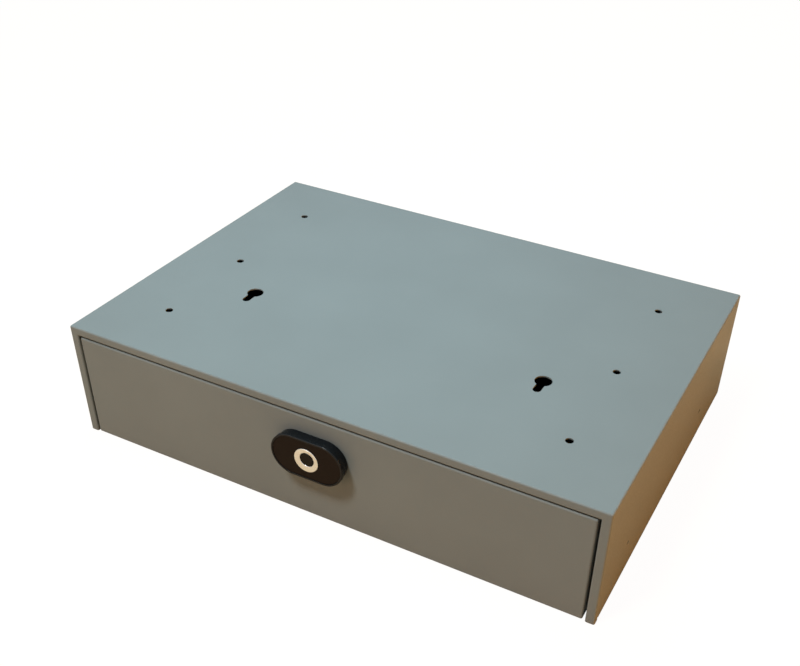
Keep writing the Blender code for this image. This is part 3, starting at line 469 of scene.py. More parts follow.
FINISHES = {
    "powder_coat": PowderCoat(),
    "galvanised": PlatedSteel("bright zinc plate", (0.62, 0.63, 0.65), (0.26, 0.40)),
    "ball_steel": PlatedSteel("polished ball steel", (0.76, 0.77, 0.79), (0.08, 0.22), EVEN, depth=0.05),
    "zinc_screw": PlatedSteel("plated screw steel", (0.60, 0.61, 0.60), (0.24, 0.38), EVEN, depth=0.12),
    "chrome": PlatedSteel("satin nickel", (0.88, 0.93, 0.98), (0.22, 0.36), EVEN, depth=0.10),
    "black_rubber": Plain("moulded rubber", (0.018, 0.018, 0.018), (0.75, 0.88), 1800, depth=0.4),
    "black_paint": Lacquer(),
    "black_gloss": FacePlate(),
    "sensor_glass": Plain(
        "dark sensor face", (0.008, 0.006, 0.005), (0.19, 0.32), 3000, depth=0.05, spread=0.2, gloss=0.12
    ),
    "grey_plastic": Plain("grey moulding", (0.085, 0.087, 0.092), (0.47, 0.60), 2200),
    "board_green": SolderResist(),
    "cell_wrap": Plain("cell wrap", (0.06, 0.17, 0.36), (0.25, 0.38), 500, depth=0.15, spread=0.08),
    "nylon": Plain("natural nylon", (0.78, 0.76, 0.70), (0.37, 0.50), 1500, depth=0.15, spread=0.05),
}


# The bench: Blender's modelling operators, called on one piece at a time


class Bench:
    """Makes and shapes pieces as a person would in Blender's edit mode."""

    def __init__(self) -> None:
        """Starts with no finishes made."""
        self.finishes: dict[str, bpy.types.Material] = {}

    def finish(self, slot: str) -> bpy.types.Material:
        """The material of one of the record's slots, made the first time that it is asked for.

        Args:
            slot: the slot's name.

        Returns:
            The material.
        """
        if slot not in self.finishes:
            self.finishes[slot] = FINISHES[slot].material()
        return self.finishes[slot]

    @staticmethod
    def alone(obj: Piece) -> None:
        """Selects one object and nothing else.

        Args:
            obj: the object, which becomes the active one.
        """
        bpy.ops.object.select_all(action="DESELECT")
        obj.select_set(True)
        bpy.context.view_layer.objects.active = obj

    @contextmanager
    def editing(self, obj: Piece, select: Select) -> Iterator[None]:
        """Edit mode on one object, with nothing picked.

        Args:
            obj: the piece.
            select: what is picked in it.

        Yields:
            Nothing: the mesh is open to edits until the block ends.
        """
        self.alone(obj)
        bpy.ops.object.mode_set(mode="EDIT")
        bpy.ops.mesh.select_mode(type=select.value)
        bpy.ops.mesh.select_all(action="DESELECT")
        yield
        bpy.ops.object.mode_set(mode="OBJECT")

    @staticmethod
    def pick(obj: Piece, select: Select, test: Callable[[object], bool]) -> None:
        """Selects only what passes a test, in a mesh in edit mode.

        Args:
            obj: the piece in edit mode.
            select: vertices, edges or faces.
            test: what is asked of each.
        """
        bpy.ops.mesh.select_all(action="DESELECT")
        bm = bmesh.from_edit_mesh(obj.data)
        for element in getattr(bm, select.name.lower()):
            if test(element):
                element.select_set(True)
        bm.select_flush_mode()
        bmesh.update_edit_mesh(obj.data)

    def placed(self, name: str) -> Piece:
        """Names the primitive just added, and puts its place into its mesh.

        Args:
            name: the piece's name.

        Returns:
            The piece.
        """
        obj = bpy.context.active_object
        obj.name = name
        self.alone(obj)
        bpy.ops.object.transform_apply(location=True, rotation=True, scale=True)
        return obj

    def block(self, name: str, low: Triple | Vector, high: Triple | Vector) -> Piece:
        """A box, as a start.

        Args:
            name: the piece's name.
            low: its lowest corner.
            high: its highest corner.

        Returns:
            The box.
        """
        low, high = Vector(low), Vector(high)
        bpy.ops.object.select_all(action="DESELECT")
        bpy.ops.mesh.primitive_cube_add(size=1, location=(low + high) / 2, scale=high - low)
        return self.placed(name)

    def disc(
        self, name: str, centre: tuple[float, float], radius: float, along: Axis, low: float, high: float,
        steps: Circle,
    ) -> Piece:
        """A round bar, as a start.

        Args:
            name: the piece's name.
            centre: its middle in the other two axes, in X, Y, Z order.
            radius: its radius.
            along: the axis that it runs along.
            low: where it starts along that axis.
            high: where it ends.
            steps: the sides of its circle.

        Returns:
            The bar.
        """
        quarter = math.pi / 2
        middle, turn = {
            Axis.X: (((low + high) / 2, *centre), (0, quarter, 0)),
            Axis.Y: ((centre[0], (low + high) / 2, centre[1]), (quarter, 0, 0)),
            Axis.Z: ((*centre, (low + high) / 2), (0, 0, 0)),
        }[along]
        bpy.ops.object.select_all(action="DESELECT")
        bpy.ops.mesh.primitive_cylinder_add(
            vertices=steps.value, radius=radius, depth=high - low, location=middle, rotation=turn
        )
        return self.placed(name)

    def modify(self, obj: Piece, kind: str, **settings: object) -> None:
        """Adds a modifier and applies it.

        Args:
            obj: the piece.
            kind: the modifier's type.
            settings: its values.
        """
        self.alone(obj)
        modifier = obj.modifiers.new(kind.title(), kind)
        for key, value in settings.items():
            setattr(modifier, key, value)
        bpy.ops.object.modifier_apply(modifier=modifier.name)

    def cut(self, obj: Piece, *cutters: Piece, operation: str = "DIFFERENCE") -> None:
        """Cuts shapes from a piece, or joins them to it, and removes them.

        Args:
            obj: the piece.
            cutters: the shapes.
            operation: DIFFERENCE to cut, or UNION to join.
        """
        for cutter in cutters:
            self.modify(obj, "BOOLEAN", operation=operation, object=cutter, solver="EXACT")
            bpy.data.objects.remove(cutter, do_unlink=True)

    @staticmethod
    def bend(sheet: float) -> None:
        """Rounds the selected edges of a skin in edit mode, as a press folds a sheet of that thickness."""
        bpy.ops.mesh.bevel(offset=INNER_BEND + sheet, segments=BEND_STEPS, profile=ROUND, affect="EDGES")

    def thicken(self, obj: Piece, sheet: float) -> None:
        """Gives a skin its wall, inwards, of the sheet's thickness."""
        self.modify(
            obj, "SOLIDIFY", thickness=sheet, offset=-1, use_even_offset=True, use_quality_normals=True
        )

    @staticmethod
    def flatten() -> None:
        """Joins what is flat to one face, in the mesh in edit mode."""
        bpy.ops.mesh.select_all(action="SELECT")
        bpy.ops.mesh.dissolve_limited(angle_limit=FLAT)

    def soften(self, obj: Piece, edge: Edge) -> None:
        """Cleans flat faces and rounds the sharp edges by a little.

        Args:
            obj: the piece.
            edge: how its edges are rounded.
        """
        width, steps, least = edge.value
        with self.editing(obj, Select.FACES):
            bpy.ops.mesh.select_all(action="SELECT")
            bpy.ops.mesh.remove_doubles(threshold=WELD)
            self.flatten()
        self.modify(
            obj, "BEVEL", width=width, segments=steps, limit_method="ANGLE",
            angle_limit=math.radians(least), use_clamp_overlap=True, harden_normals=False,
        )

    def hand_over(self, obj: Piece, body: Body, slot: str, *nodes: str) -> None:
        """Finishes a piece: smooth shading, its material, and its place in the frame.

        Args:
            obj: the piece.
            body: what it rides on.
            slot: the record's material slot.
            nodes: the CAD nodes that it stands for.
        """
        self.alone(obj)
        bpy.ops.object.shade_smooth_by_angle(angle=SMOOTH)
        self.modify(obj, "WEIGHTED_NORMAL", weight=FACE_WEIGHT, keep_sharp=True)
        obj.data.materials.clear()
        obj.data.materials.append(self.finish(slot))
        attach(obj, body.value)
        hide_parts(*nodes)

    def refined(self, node: str, name: str, edge: Edge) -> Piece:
        """A copy of a CAD node's mesh with clean faces and softly rounded edges.

        Args:
            node: the CAD node.
            name: the new piece's name.
            edge: how its edges are rounded.

        Returns:
            The copy.
        """
        obj = bpy.data.objects.new(name, frame["nodes"][node].data.copy())
        bpy.context.scene.collection.objects.link(obj)
        self.soften(obj, edge)
        return obj

    def dress(self, node: str, slot: str) -> None:
        """Gives a CAD node its finish in place of the plain one that it comes with."""
        for holder in frame["nodes"][node].material_slots:
            holder.material = self.finish(slot)


SHOP = Bench()


def slot_of(node: str) -> str:
    """The record's material slot of a CAD node."""
    return next(part["material_slot"] for part in frame["record"]["subparts"] if part["node"] == node)


# Folded sheet


@dataclass
class FoldedPan:
    """A box of folded sheet with one side open, with rounded bends."""

    node: str
    name: str
    sheet: float
    open_along: Axis
    open_way: int
    holes: list[Piece] = field(default_factory=list)

    def build(self) -> Piece:
        """Folds the pan, cuts its holes and breaks its cut edges.

        Returns:
            The pan.
        """
        obj = SHOP.block(self.name, *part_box(self.node))
        with SHOP.editing(obj, Select.FACES):
            SHOP.pick(obj, Select.FACES, lambda f: f.normal[self.open_along] * self.open_way > FACING)
            bpy.ops.mesh.delete(type="ONLY_FACE")
        with SHOP.editing(obj, Select.EDGES):
            SHOP.pick(obj, Select.EDGES, lambda e: len(e.link_faces) == 2)
            SHOP.bend(self.sheet)
        SHOP.thicken(obj, self.sheet)
        SHOP.cut(obj, *self.holes)
        SHOP.soften(obj, Edge.CUT_SHEET)
        return obj


def all_at(edge: bmesh.types.BMEdge, axis: Axis, place: float) -> bool:
    """Whether both ends of an edge lie at one place along an axis."""
    return all(abs(v.co[axis] - place) < NEAR for v in edge.verts)


def is_bend(edge: bmesh.types.BMEdge) -> bool:
    """Whether two faces meet sharply at an edge."""
    return len(edge.link_faces) == 2 and edge.calc_face_angle() > SMOOTH


@dataclass
class CaseAssembly:
    """The case: shell, back and strike. Distances named behind are from the front face."""

    sheet: float = 1.0 * MM
    flange: float = 6.4 * MM
    flange_return: float = 8 * MM
    base_flange: float = 6 * MM
    base_behind: float = 7 * MM
    relief_width: float = 2 * MM
    relief_height: float = 2.5 * MM
    screw_radius: float = 2.75 * MM
    screw_across: float = 153.5 * MM
    screws_behind: tuple[float, ...] = (51 * MM, 136 * MM, 226 * MM)
    keyhole_across: float = 115 * MM
    entry_radius: float = 6 * MM
    entry_behind: float = 102 * MM
    slot_radius: float = 2.9 * MM
    slot_behind: float = 91 * MM
    rail_hole_radius: float = 1.6 * MM
    rail_holes_behind: tuple[float, ...] = (50.5 * MM, 210 * MM)
    rail_level: float = 27 * MM
    cut_reach: float = 4 * MM

    def __post_init__(self) -> None:
        """Reads the case's box from the frame."""
        self.low, self.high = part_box("case_shell")

    def skin(self) -> Piece:
        """Draws the outer skin out of a box, as its sheet is folded.

        Returns:
            The skin, with its bends rounded and its outside out.
        """
        obj = SHOP.block("case_shell_sheet", self.low, self.high)
        self.open_up(obj)
        self.draw_flanges(obj)
        with SHOP.editing(obj, Select.EDGES):
            SHOP.flatten()
            SHOP.pick(obj, Select.EDGES, is_bend)
            SHOP.bend(self.sheet)
            bpy.ops.mesh.select_all(action="SELECT")
            bpy.ops.mesh.normals_make_consistent(inside=False)
        self.turn_out(obj)
        return obj

    def open_up(self, obj: Piece) -> None:
        """Opens the box at its front, back and foot, and notches its sides ahead of the base flanges.

        Args:
            obj: the box.
        """
        with SHOP.editing(obj, Select.FACES):
            SHOP.pick(obj, Select.FACES, lambda f: abs(f.normal.y) > FACING or f.normal.z < -FACING)
            bpy.ops.mesh.delete(type="ONLY_FACE")
        with SHOP.editing(obj, Select.EDGES):
            start = self.low.y + self.base_behind
            for y in (start - self.relief_width, start):
                bpy.ops.mesh.select_all(action="SELECT")
                bpy.ops.mesh.bisect(plane_co=(0, y, 0), plane_no=(0, 1, 0))
            bpy.ops.mesh.select_all(action="SELECT")
            bpy.ops.mesh.bisect(plane_co=(0, 0, self.relief_height), plane_no=(0, 0, 1))
        with SHOP.editing(obj, Select.FACES):
            SHOP.pick(obj, Select.FACES, lambda f: self.in_relief(f.calc_center_median()))
            bpy.ops.mesh.delete(type="FACE")

    def draw_flanges(self, obj: Piece) -> None:
        """Extrudes the front flange, its return and the base flanges from the skin's open edges.

        Args:
            obj: the skin.
        """
        with SHOP.editing(obj, Select.EDGES):
            SHOP.pick(
                obj, Select.EDGES, lambda e: len(e.link_faces) == 1 and all_at(e, Axis.Y, self.low.y)
            )
            bpy.ops.mesh.extrude_edges_move()
            self.draw_in(obj, self.flange)
            bpy.ops.mesh.extrude_edges_move(TRANSFORM_OT_translate={"value": (0, self.flange_return, 0)})
            SHOP.pick(obj, Select.EDGES, self.on_base)
            bpy.ops.mesh.extrude_edges_move()
            bm = bmesh.from_edit_mesh(obj.data)
            for vert in (v for v in bm.verts if v.select):
                vert.co.x -= math.copysign(self.base_flange, vert.co.x)
            bmesh.update_edit_mesh(obj.data)

    def in_relief(self, place: Vector) -> bool:
        """Whether a face lies in the notch ahead of a base flange."""
        start = self.low.y + self.base_behind
        return place.z < self.relief_height and start - self.relief_width < place.y < start

    def on_base(self, edge: bmesh.types.BMEdge) -> bool:
        """Whether an edge is the foot of a side wall, behind the relief."""
        start = self.low.y + self.base_behind - NEAR
        return all_at(edge, Axis.Z, 0) and all(
            v.co.y > start and abs(abs(v.co.x) - self.high.x) < NEAR for v in edge.verts
        )

    def draw_in(self, obj: Piece, width: float) -> None:
        """Moves the selected front edges inwards, and down under the top.

        Args:
            obj: the skin in edit mode.
            width: the flange's width.
        """
        bm = bmesh.from_edit_mesh(obj.data)
        inner, ceiling = self.high.x - width, self.high.z - width
        for vert in (v for v in bm.verts if v.select):
            vert.co.x = max(-inner, min(inner, vert.co.x))
            vert.co.z = min(ceiling, vert.co.z)
        bmesh.update_edit_mesh(obj.data)

    @staticmethod
    def turn_out(obj: Piece) -> None:
        """Flips the open skin if its top looks down.

        Args:
            obj: the skin.
        """
        top = max(obj.data.polygons, key=lambda p: p.area)
        if top.normal.z < 0:
            with SHOP.editing(obj, Select.FACES):
                bpy.ops.mesh.select_all(action="SELECT")
                bpy.ops.mesh.flip_normals()

    def keyhole(self, x: float) -> Piece:
        """A cutter: the entry circle joined to the slot that runs from it towards the front.

        Args:
            x: the keyhole's place across the top.

        Returns:
            The cutter.
        """
        low, high = self.high.z - self.cut_reach, self.high.z + self.cut_reach
        entry, slot = self.low.y + self.entry_behind, self.low.y + self.slot_behind
        cutter = SHOP.disc("keyhole", (x, entry), self.entry_radius, Axis.Z, low, high, Circle.ENTRY)
        end = SHOP.disc("slot end", (x, slot), self.slot_radius, Axis.Z, low, high, Circle.SLOT)
        run = SHOP.block("slot run", (x - self.slot_radius, slot, low), (x + self.slot_radius, entry, high))
        SHOP.cut(cutter, run, end, operation="UNION")
        return cutter

    def holes(self) -> list[Piece]:
        """Shapes for every hole in the shell.

        Returns:
            The cutters.
        """
        low, high = self.high.z - self.cut_reach, self.high.z + self.cut_reach
        found = [self.keyhole(side * self.keyhole_across) for _, side in SIDES]
        for behind in self.screws_behind:
            for _, side in SIDES:
                centre = (side * self.screw_across, self.low.y + behind)
                found.append(
                    SHOP.disc("screw hole", centre, self.screw_radius, Axis.Z, low, high, Circle.SCREW_HOLE)
                )
        for behind in self.rail_holes_behind:
            for _, side in SIDES:
                centre = (self.low.y + behind, self.rail_level)
                ends = sorted((side * (self.high.x - 2 * self.sheet), side * (self.high.x + self.sheet)))
                found.append(
                    SHOP.disc("rail hole", centre, self.rail_hole_radius, Axis.X, *ends, Circle.SMALL_HOLE)
                )
        return found

    def level_feet(self, obj: Piece) -> None:
        """Presses what the rounding leaves under the shell's feet back up to their level.

        Args:
            obj: the shell.
        """
        with SHOP.editing(obj, Select.VERTS):
            SHOP.pick(obj, Select.VERTS, lambda v: v.co.z < self.low.z)
            bpy.ops.transform.resize(value=(1, 1, 0), center_override=(0, 0, self.low.z))

    def build(self) -> None:
        """Makes the shell, the back and the strike."""
        shell = self.skin()
        SHOP.thicken(shell, self.sheet)
        SHOP.cut(shell, *self.holes())
        SHOP.soften(shell, Edge.CUT_SHEET)
        self.level_feet(shell)
        SHOP.hand_over(shell, Body.CASE, "powder_coat", "case_shell")
        back = FoldedPan("case_back", "case_back_pan", self.sheet, Axis.Y, -1).build()
        SHOP.hand_over(back, Body.CASE, "powder_coat", "case_back")
        strike = SHOP.refined("strike_plate", "strike_angle", Edge.CUT_SHEET)
        SHOP.hand_over(strike, Body.CASE, "galvanised", "strike_plate")
        LOG.info("case: shell, back and strike")


@dataclass
class DrawerAssembly:
    """The drawer's front and tray, and the nuts that join them."""

    front_sheet: float = 1.0 * MM
    stud_radius: float = 2.0 * MM
    stud_length: float = 7.0 * MM
    lock_hole_radius: float = 5.55 * MM
    screw_hole_radius: float = 1.8 * MM
    lock_screw_across: float = 19 * MM

    def lock_holes(self, y: float) -> list[Piece]:
        """Shapes for the holes of the lock's sensor and its two screws.

        Args:
            y: the middle of the wall that they go through.

        Returns:
            The cutters.
        """
        low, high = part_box("lock_ring")
        level = (low.z + high.z) / 2
        ends = (y - 2 * self.front_sheet, y + 2 * self.front_sheet)
        found = [SHOP.disc("sensor hole", (0, level), self.lock_hole_radius, Axis.Y, *ends, Circle.SLOT)]
        for _, side in SIDES:
            centre = (side * self.lock_screw_across, level)
            found.append(
                SHOP.disc("screw hole", centre, self.screw_hole_radius, Axis.Y, *ends, Circle.SMALL_HOLE)
            )
        return found

    def studs(self, root: float) -> list[Piece]:
        """Round bars that stand in the four nuts.

        Args:
            root: where they start, in the front's wall.

        Returns:
            The studs.
        """
        found = []
        end = root + self.stud_length
        for name, _ in SIDES:
            for level in LEVELS:
                low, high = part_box(f"front_nut_{name}_{level}")
                centre = ((low.x + high.x) / 2, (low.z + high.z) / 2)
                found.append(
                    SHOP.disc("stud", centre, self.stud_radius, Axis.Y, root, end, Circle.SMALL_HOLE)
                )
        return found

    def build(self) -> None:
        """Makes the front, the tray and the nuts."""
        low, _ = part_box("drawer_front")
        root = low.y + self.front_sheet / 2
        front = FoldedPan(
            "drawer_front", "drawer_front_pan", self.front_sheet, Axis.Y, 1, holes=self.lock_holes(root)
        ).build()
        SHOP.cut(front, *self.studs(root), operation="UNION")
        SHOP.hand_over(front, Body.DRAWER, "powder_coat", "drawer_front")
        tray = SHOP.refined("drawer_tray", "drawer_tray_folded", Edge.THIN_SHEET)
        SHOP.hand_over(tray, Body.DRAWER, "powder_coat", "drawer_tray")
        for name, _ in SIDES:
            for level in LEVELS:
                node = f"front_nut_{name}_{level}"
                nut = SHOP.refined(node, f"hex_nut_{name}_{level}", Edge.NUT)
                SHOP.hand_over(nut, Body.DRAWER, "zinc_screw", node)
        LOG.info("drawer: front, tray and four nuts")


@dataclass
class SlideAssembly:
    """One ball-bearing slide: rolled members, ball cage, balls, stop and screws."""

    side: str
    sign: int
    slide_back: float = 198.7 * MM
    balls: int = 5
    ball_radius: float = 1.75 * MM
    ball_flat: float = 0.03 * MM
    ball_segments: int = 28
    ball_rings: int = 16
    ball_inset: float = 7.3 * MM
    ball_up: float = 10.4 * MM
    ball_pitch: float = 14 * MM
    tip_reach: float = 0.2 * MM
    tip_depth: float = 0.9 * MM

    def ball(self) -> Piece:
        """One steel ball, with its poles along the race, ground to a narrow flat at each pole.

        Returns:
            The ball, at its place across the slide.
        """
        x = self.sign * (self.slide_back - self.ball_inset)
        bpy.ops.object.select_all(action="DESELECT")
        bpy.ops.mesh.primitive_uv_sphere_add(
            segments=self.ball_segments, ring_count=self.ball_rings, radius=self.ball_radius,
            location=(x, 0, 0), rotation=(math.pi / 2, 0, 0),
        )
        ball = SHOP.placed(f"ball_{self.side}")
        flat = self.ball_radius - self.ball_flat
        with SHOP.editing(ball, Select.VERTS):
            SHOP.pick(ball, Select.VERTS, lambda v: abs(v.co.y) > flat)
            bpy.ops.transform.resize(value=(1, flat / self.ball_radius, 1), center_override=(x, 0, 0))
        return ball

    def set_back(self, screw: Piece) -> None:
        """Ends a screw a little inside its hole, which shows dark in the case's side.

        Args:
            screw: the screw.
        """
        reach = self.sign * max(self.sign * v.co.x for v in screw.data.vertices)
        with SHOP.editing(screw, Select.VERTS):
            SHOP.pick(screw, Select.VERTS, lambda v: abs(v.co.x - reach) < self.tip_reach)
            bpy.ops.transform.translate(value=(-self.sign * self.tip_depth, 0, 0))

    def cage(self) -> None:
        """Makes the ball cage with its ten balls, as one piece."""
        node, body = f"rail_cage_{self.side}", Body(f"cage_{self.side}")
        low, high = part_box(node)
        middle, level = (low.y + high.y) / 2, (low.z + high.z) / 2
        strip, ball = SHOP.refined(node, f"ball_cage_{self.side}", Edge.CAGE), self.ball()
        copies = []
        for i in range(self.balls):
            y = middle + self.ball_pitch * (i - (self.balls - 1) / 2)
            for way in (-1, 1):
                copy = bpy.data.objects.new(f"{ball.name}_{len(copies) + 1}", ball.data.copy())
                copy.data.transform(Matrix.Translation((0, y, level + way * self.ball_up)))
                bpy.context.scene.collection.objects.link(copy)
                copies.append(copy)
        bpy.data.objects.remove(ball, do_unlink=True)
        SHOP.alone(strip)
        for copy in copies:
            copy.select_set(True)
        bpy.ops.object.join()
        SHOP.hand_over(strip, body, "ball_steel", node)

    def build(self) -> None:
        """Makes the slide's pieces."""
        for kind, body in (("outer", Body.CASE), ("inner", Body.DRAWER)):
            node = f"rail_{kind}_{self.side}"
            member = SHOP.refined(node, f"{kind}_member_{self.side}", Edge.FINE)
            SHOP.hand_over(member, body, "galvanised", node)
        node = f"rail_bumper_{self.side}"
        stop = SHOP.refined(node, f"rubber_stop_{self.side}", Edge.RUBBER)
        SHOP.hand_over(stop, Body.CASE, "black_rubber", node)
        for kind, body in (("rail", Body.CASE), ("tray", Body.DRAWER)):
            for place in ("front", "rear"):
                node = f"{kind}_screw_{self.side}_{place}"
                screw = SHOP.refined(node, f"{kind}_fixing_{self.side}_{place}", Edge.SCREW)
                if body is Body.CASE:
                    self.set_back(screw)
                SHOP.hand_over(screw, body, "zinc_screw", node)
        self.cage()
        LOG.info("slide %s: members, cage, ten balls, stop and four screws", self.side)


@dataclass
class LockFace:
    """The lock's outside: cast body, inset plate, ring and sensor."""

    waist: float = 0.8 * MM
    rim_depth: float = 3.0 * MM
    rim_width: float = 1.4 * MM
    bevel: float = 0.55 * MM
    bevel_steps: int = 6
    plate_sunk: float = 0.35 * MM
    plate_thickness: float = 0.9 * MM
    plate_gap: float = 0.2 * MM
    plate_bore_gap: float = 0.15 * MM
    plate_cut: tuple[float, float] = (-1.0, 0.0)
    ring_radius: float = 9.0 * MM
    ring_bore: float = 5.25 * MM
    ring_gap: float = 0.3 * MM
    ring_land: float = 0.9 * MM
    ring_dish: float = 0.9 * MM
    touch_parts: int = 6
    touch_rings: int = 4
    touch_step: float = 0.05 * MM
    cut_reach: float = 1 * MM

    def __post_init__(self) -> None:
        """Reads the lock's place from the frame."""
        self.low, self.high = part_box("lock_escutcheon")
        self.level = (self.low.z + self.high.z) / 2

    def round_bar(self, name: str, radius: float, near: float, far: float, steps: Circle) -> Piece:
        """A round bar on the lock's axis, from near to far."""
        return SHOP.disc(name, (0, self.level), radius, Axis.Y, near, far, steps)

    def long_bar(self, name: str, inset: float, near: float, far: float) -> Piece:
        """A bar with round ends: a round bar whose halves are moved apart.

        Args:
            name: its name.
            inset: how much smaller it is than the lock's outline, all round.
            near: its front.
            far: its back.

        Returns:
            The bar.
        """
        radius = (self.high.z - self.low.z) / 2 - inset
        reach = (self.high.x - self.low.x) / 2 - inset - radius
        obj = self.round_bar(name, radius, near, far, Circle.RING)
        with SHOP.editing(obj, Select.VERTS):
            bpy.ops.mesh.select_all(action="SELECT")
            bpy.ops.mesh.bisect(plane_co=(0, 0, 0), plane_no=(1, 0, 0))
            bm = bmesh.from_edit_mesh(obj.data)
            for vert in bm.verts:
                if abs(vert.co.x) > NEAR:
                    vert.co.x += math.copysign(reach, vert.co.x)
            bmesh.update_edit_mesh(obj.data)
        with SHOP.editing(obj, Select.FACES):
            SHOP.flatten()
        return obj

    def body(self) -> Piece:
        """The cast body: a waist, a wider rim with a rounded edge, the plate's pocket and the ring's bore.

        Returns:
            The body.
        """
        rim_back = self.low.y + self.rim_depth
        rim = self.long_bar("lock_body", 0, self.low.y, rim_back)
        waist = self.long_bar("waist", self.waist, rim_back - self.waist, self.high.y)
        SHOP.cut(rim, waist, operation="UNION")
        with SHOP.editing(rim, Select.EDGES):
            SHOP.pick(rim, Select.EDGES, lambda e: is_bend(e) and all_at(e, Axis.Y, self.low.y))
            bpy.ops.mesh.bevel(offset=self.bevel, segments=self.bevel_steps, profile=ROUND, affect="EDGES")
        front, back = self.low.y - self.bevel, self.high.y + self.cut_reach
        floor = self.low.y + self.plate_sunk + self.plate_thickness + self.ring_gap
        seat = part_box("lock_ring")[1].y + self.ring_gap
        pocket = self.long_bar("pocket", self.rim_width, front, floor)
        bore = self.round_bar("bore", self.ring_radius + self.ring_gap, front, seat, Circle.RING)
        through = self.round_bar("through", self.ring_bore + self.ring_gap, front, back, Circle.ENTRY)
        SHOP.cut(rim, pocket, bore, through)
        SHOP.soften(rim, Edge.CAST_BODY)
        return rim

    def plate(self) -> Piece:
        """The plate let in to the body, with the ring's hole.

        Returns:
            The plate.
        """
        near, inset = self.low.y + self.plate_sunk, self.rim_width + self.plate_gap
        plate = self.long_bar("inset_plate", inset, near, near + self.plate_thickness)
        radius = self.ring_radius + self.plate_bore_gap
        hole = self.round_bar("plate hole", radius, *self.plate_cut, Circle.RING)
        SHOP.cut(plate, hole)
        SHOP.soften(plate, Edge.FACE_PLATE)
        return plate

    def ring(self) -> Piece:
        """The ring: a round bar, its face inset and pressed in to a dish, and its bore cut through.

        Returns:
            The ring.
        """
        low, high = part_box("lock_ring")
        near, far = low.y - self.cut_reach, high.y + self.cut_reach
        obj = self.round_bar("touch_ring", self.ring_radius, low.y, high.y, Circle.RING)
        with SHOP.editing(obj, Select.FACES):
            SHOP.pick(obj, Select.FACES, lambda f: f.normal.y < -FACING)
            bpy.ops.mesh.inset(thickness=self.ring_land)
            bpy.ops.mesh.inset(thickness=self.ring_radius - self.ring_land - self.ring_bore)
            bpy.ops.transform.translate(value=(0, self.ring_dish, 0))
        SHOP.cut(obj, self.round_bar("ring bore", self.ring_bore, near, far, Circle.RING))
        SHOP.soften(obj, Edge.RING)
        return obj

    def sensor(self) -> Piece:
        """The sensor's stem, with a faintly dished touch face.

        Returns:
            The sensor.
        """
        low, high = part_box("lock_sensor")
        radius = (high.x - low.x) / 2
        obj = self.round_bar("touch_sensor", radius, low.y, high.y, Circle.ENTRY)
        with SHOP.editing(obj, Select.FACES):
            SHOP.pick(obj, Select.FACES, lambda f: f.normal.y < -FACING)
            for _ in range(self.touch_rings):
                bpy.ops.mesh.inset(thickness=radius / self.touch_parts)
                bpy.ops.transform.translate(value=(0, self.touch_step, 0))
        SHOP.soften(obj, Edge.SENSOR)
        return obj

    def build(self) -> None:
        """Makes the lock's four outer pieces and its two screws."""
        SHOP.hand_over(self.body(), Body.DRAWER, "black_paint", "lock_escutcheon")
        SHOP.hand_over(self.plate(), Body.DRAWER, "black_gloss", "lock_face_plate")
        SHOP.hand_over(self.ring(), Body.DRAWER, "chrome", "lock_ring")
        SHOP.hand_over(self.sensor(), Body.DRAWER, "sensor_glass", "lock_sensor")
        for name, _ in SIDES:
            screw = SHOP.refined(f"lock_screw_{name}", f"lock_fixing_{name}", Edge.SCREW)
            SHOP.hand_over(screw, Body.DRAWER, "zinc_screw", f"lock_screw_{name}")
        LOG.info("lock face: body, plate, ring, sensor and two screws")


@dataclass
class LockWorks:
    """The lock's inside: chassis, cover, board, cell, motor, bolt and pinion."""

    pieces: dict[str, tuple[str, Body, Edge]] = field(
        default_factory=lambda: {
            "lock_chassis": ("works_chassis", Body.DRAWER, Edge.HOUSING),
            "lock_cover": ("works_cover", Body.DRAWER, Edge.COVER),
            "lock_circuit_board": ("works_board", Body.DRAWER, Edge.FINE),
            "lock_battery": ("works_cell", Body.DRAWER, Edge.CELL),
            "lock_motor": ("works_motor", Body.DRAWER, Edge.HOUSING),
            "lock_bolt": ("works_bolt", Body.BOLT, Edge.BOLT),
            "lock_pinion": ("works_pinion", Body.PINION, Edge.FINE),
        }
    )

    def build(self) -> None:
        """Makes each piece from its node, with rounded edges."""
        for node, (name, body, edge) in self.pieces.items():
            SHOP.hand_over(SHOP.refined(node, name, edge), body, slot_of(node), node)
        for name, _ in SIDES:
            for level in LEVELS:
                node = f"cover_screw_{name}_{level}"
                screw = SHOP.refined(node, f"cover_fixing_{name}_{level}", Edge.SMALL_SCREW)
                SHOP.hand_over(screw, Body.DRAWER, "zinc_screw", node)
        LOG.info("lock works: %d pieces and four screws", len(self.pieces))


# Studio


@dataclass(frozen=True)
class Lamp:
    """One soft area lamp that looks at the drawer."""

    name: str
    place: Triple
    size: float
    power: float
    colour: Triple

    def hang(self, target: Vector) -> None:
        """Adds the lamp.

        Args:
            target: what it is turned to.
        """
        data = bpy.data.lights.new(self.name, "AREA")
        data.shape = "SQUARE"
        data.size, data.energy, data.color = self.size, self.power, self.colour
        obj = bpy.data.objects.new(self.name, data)
        bpy.context.scene.collection.objects.link(obj)
        obj.location = self.place
        obj.rotation_euler = (target - Vector(self.place)).to_track_quat("-Z", "Y").to_euler()


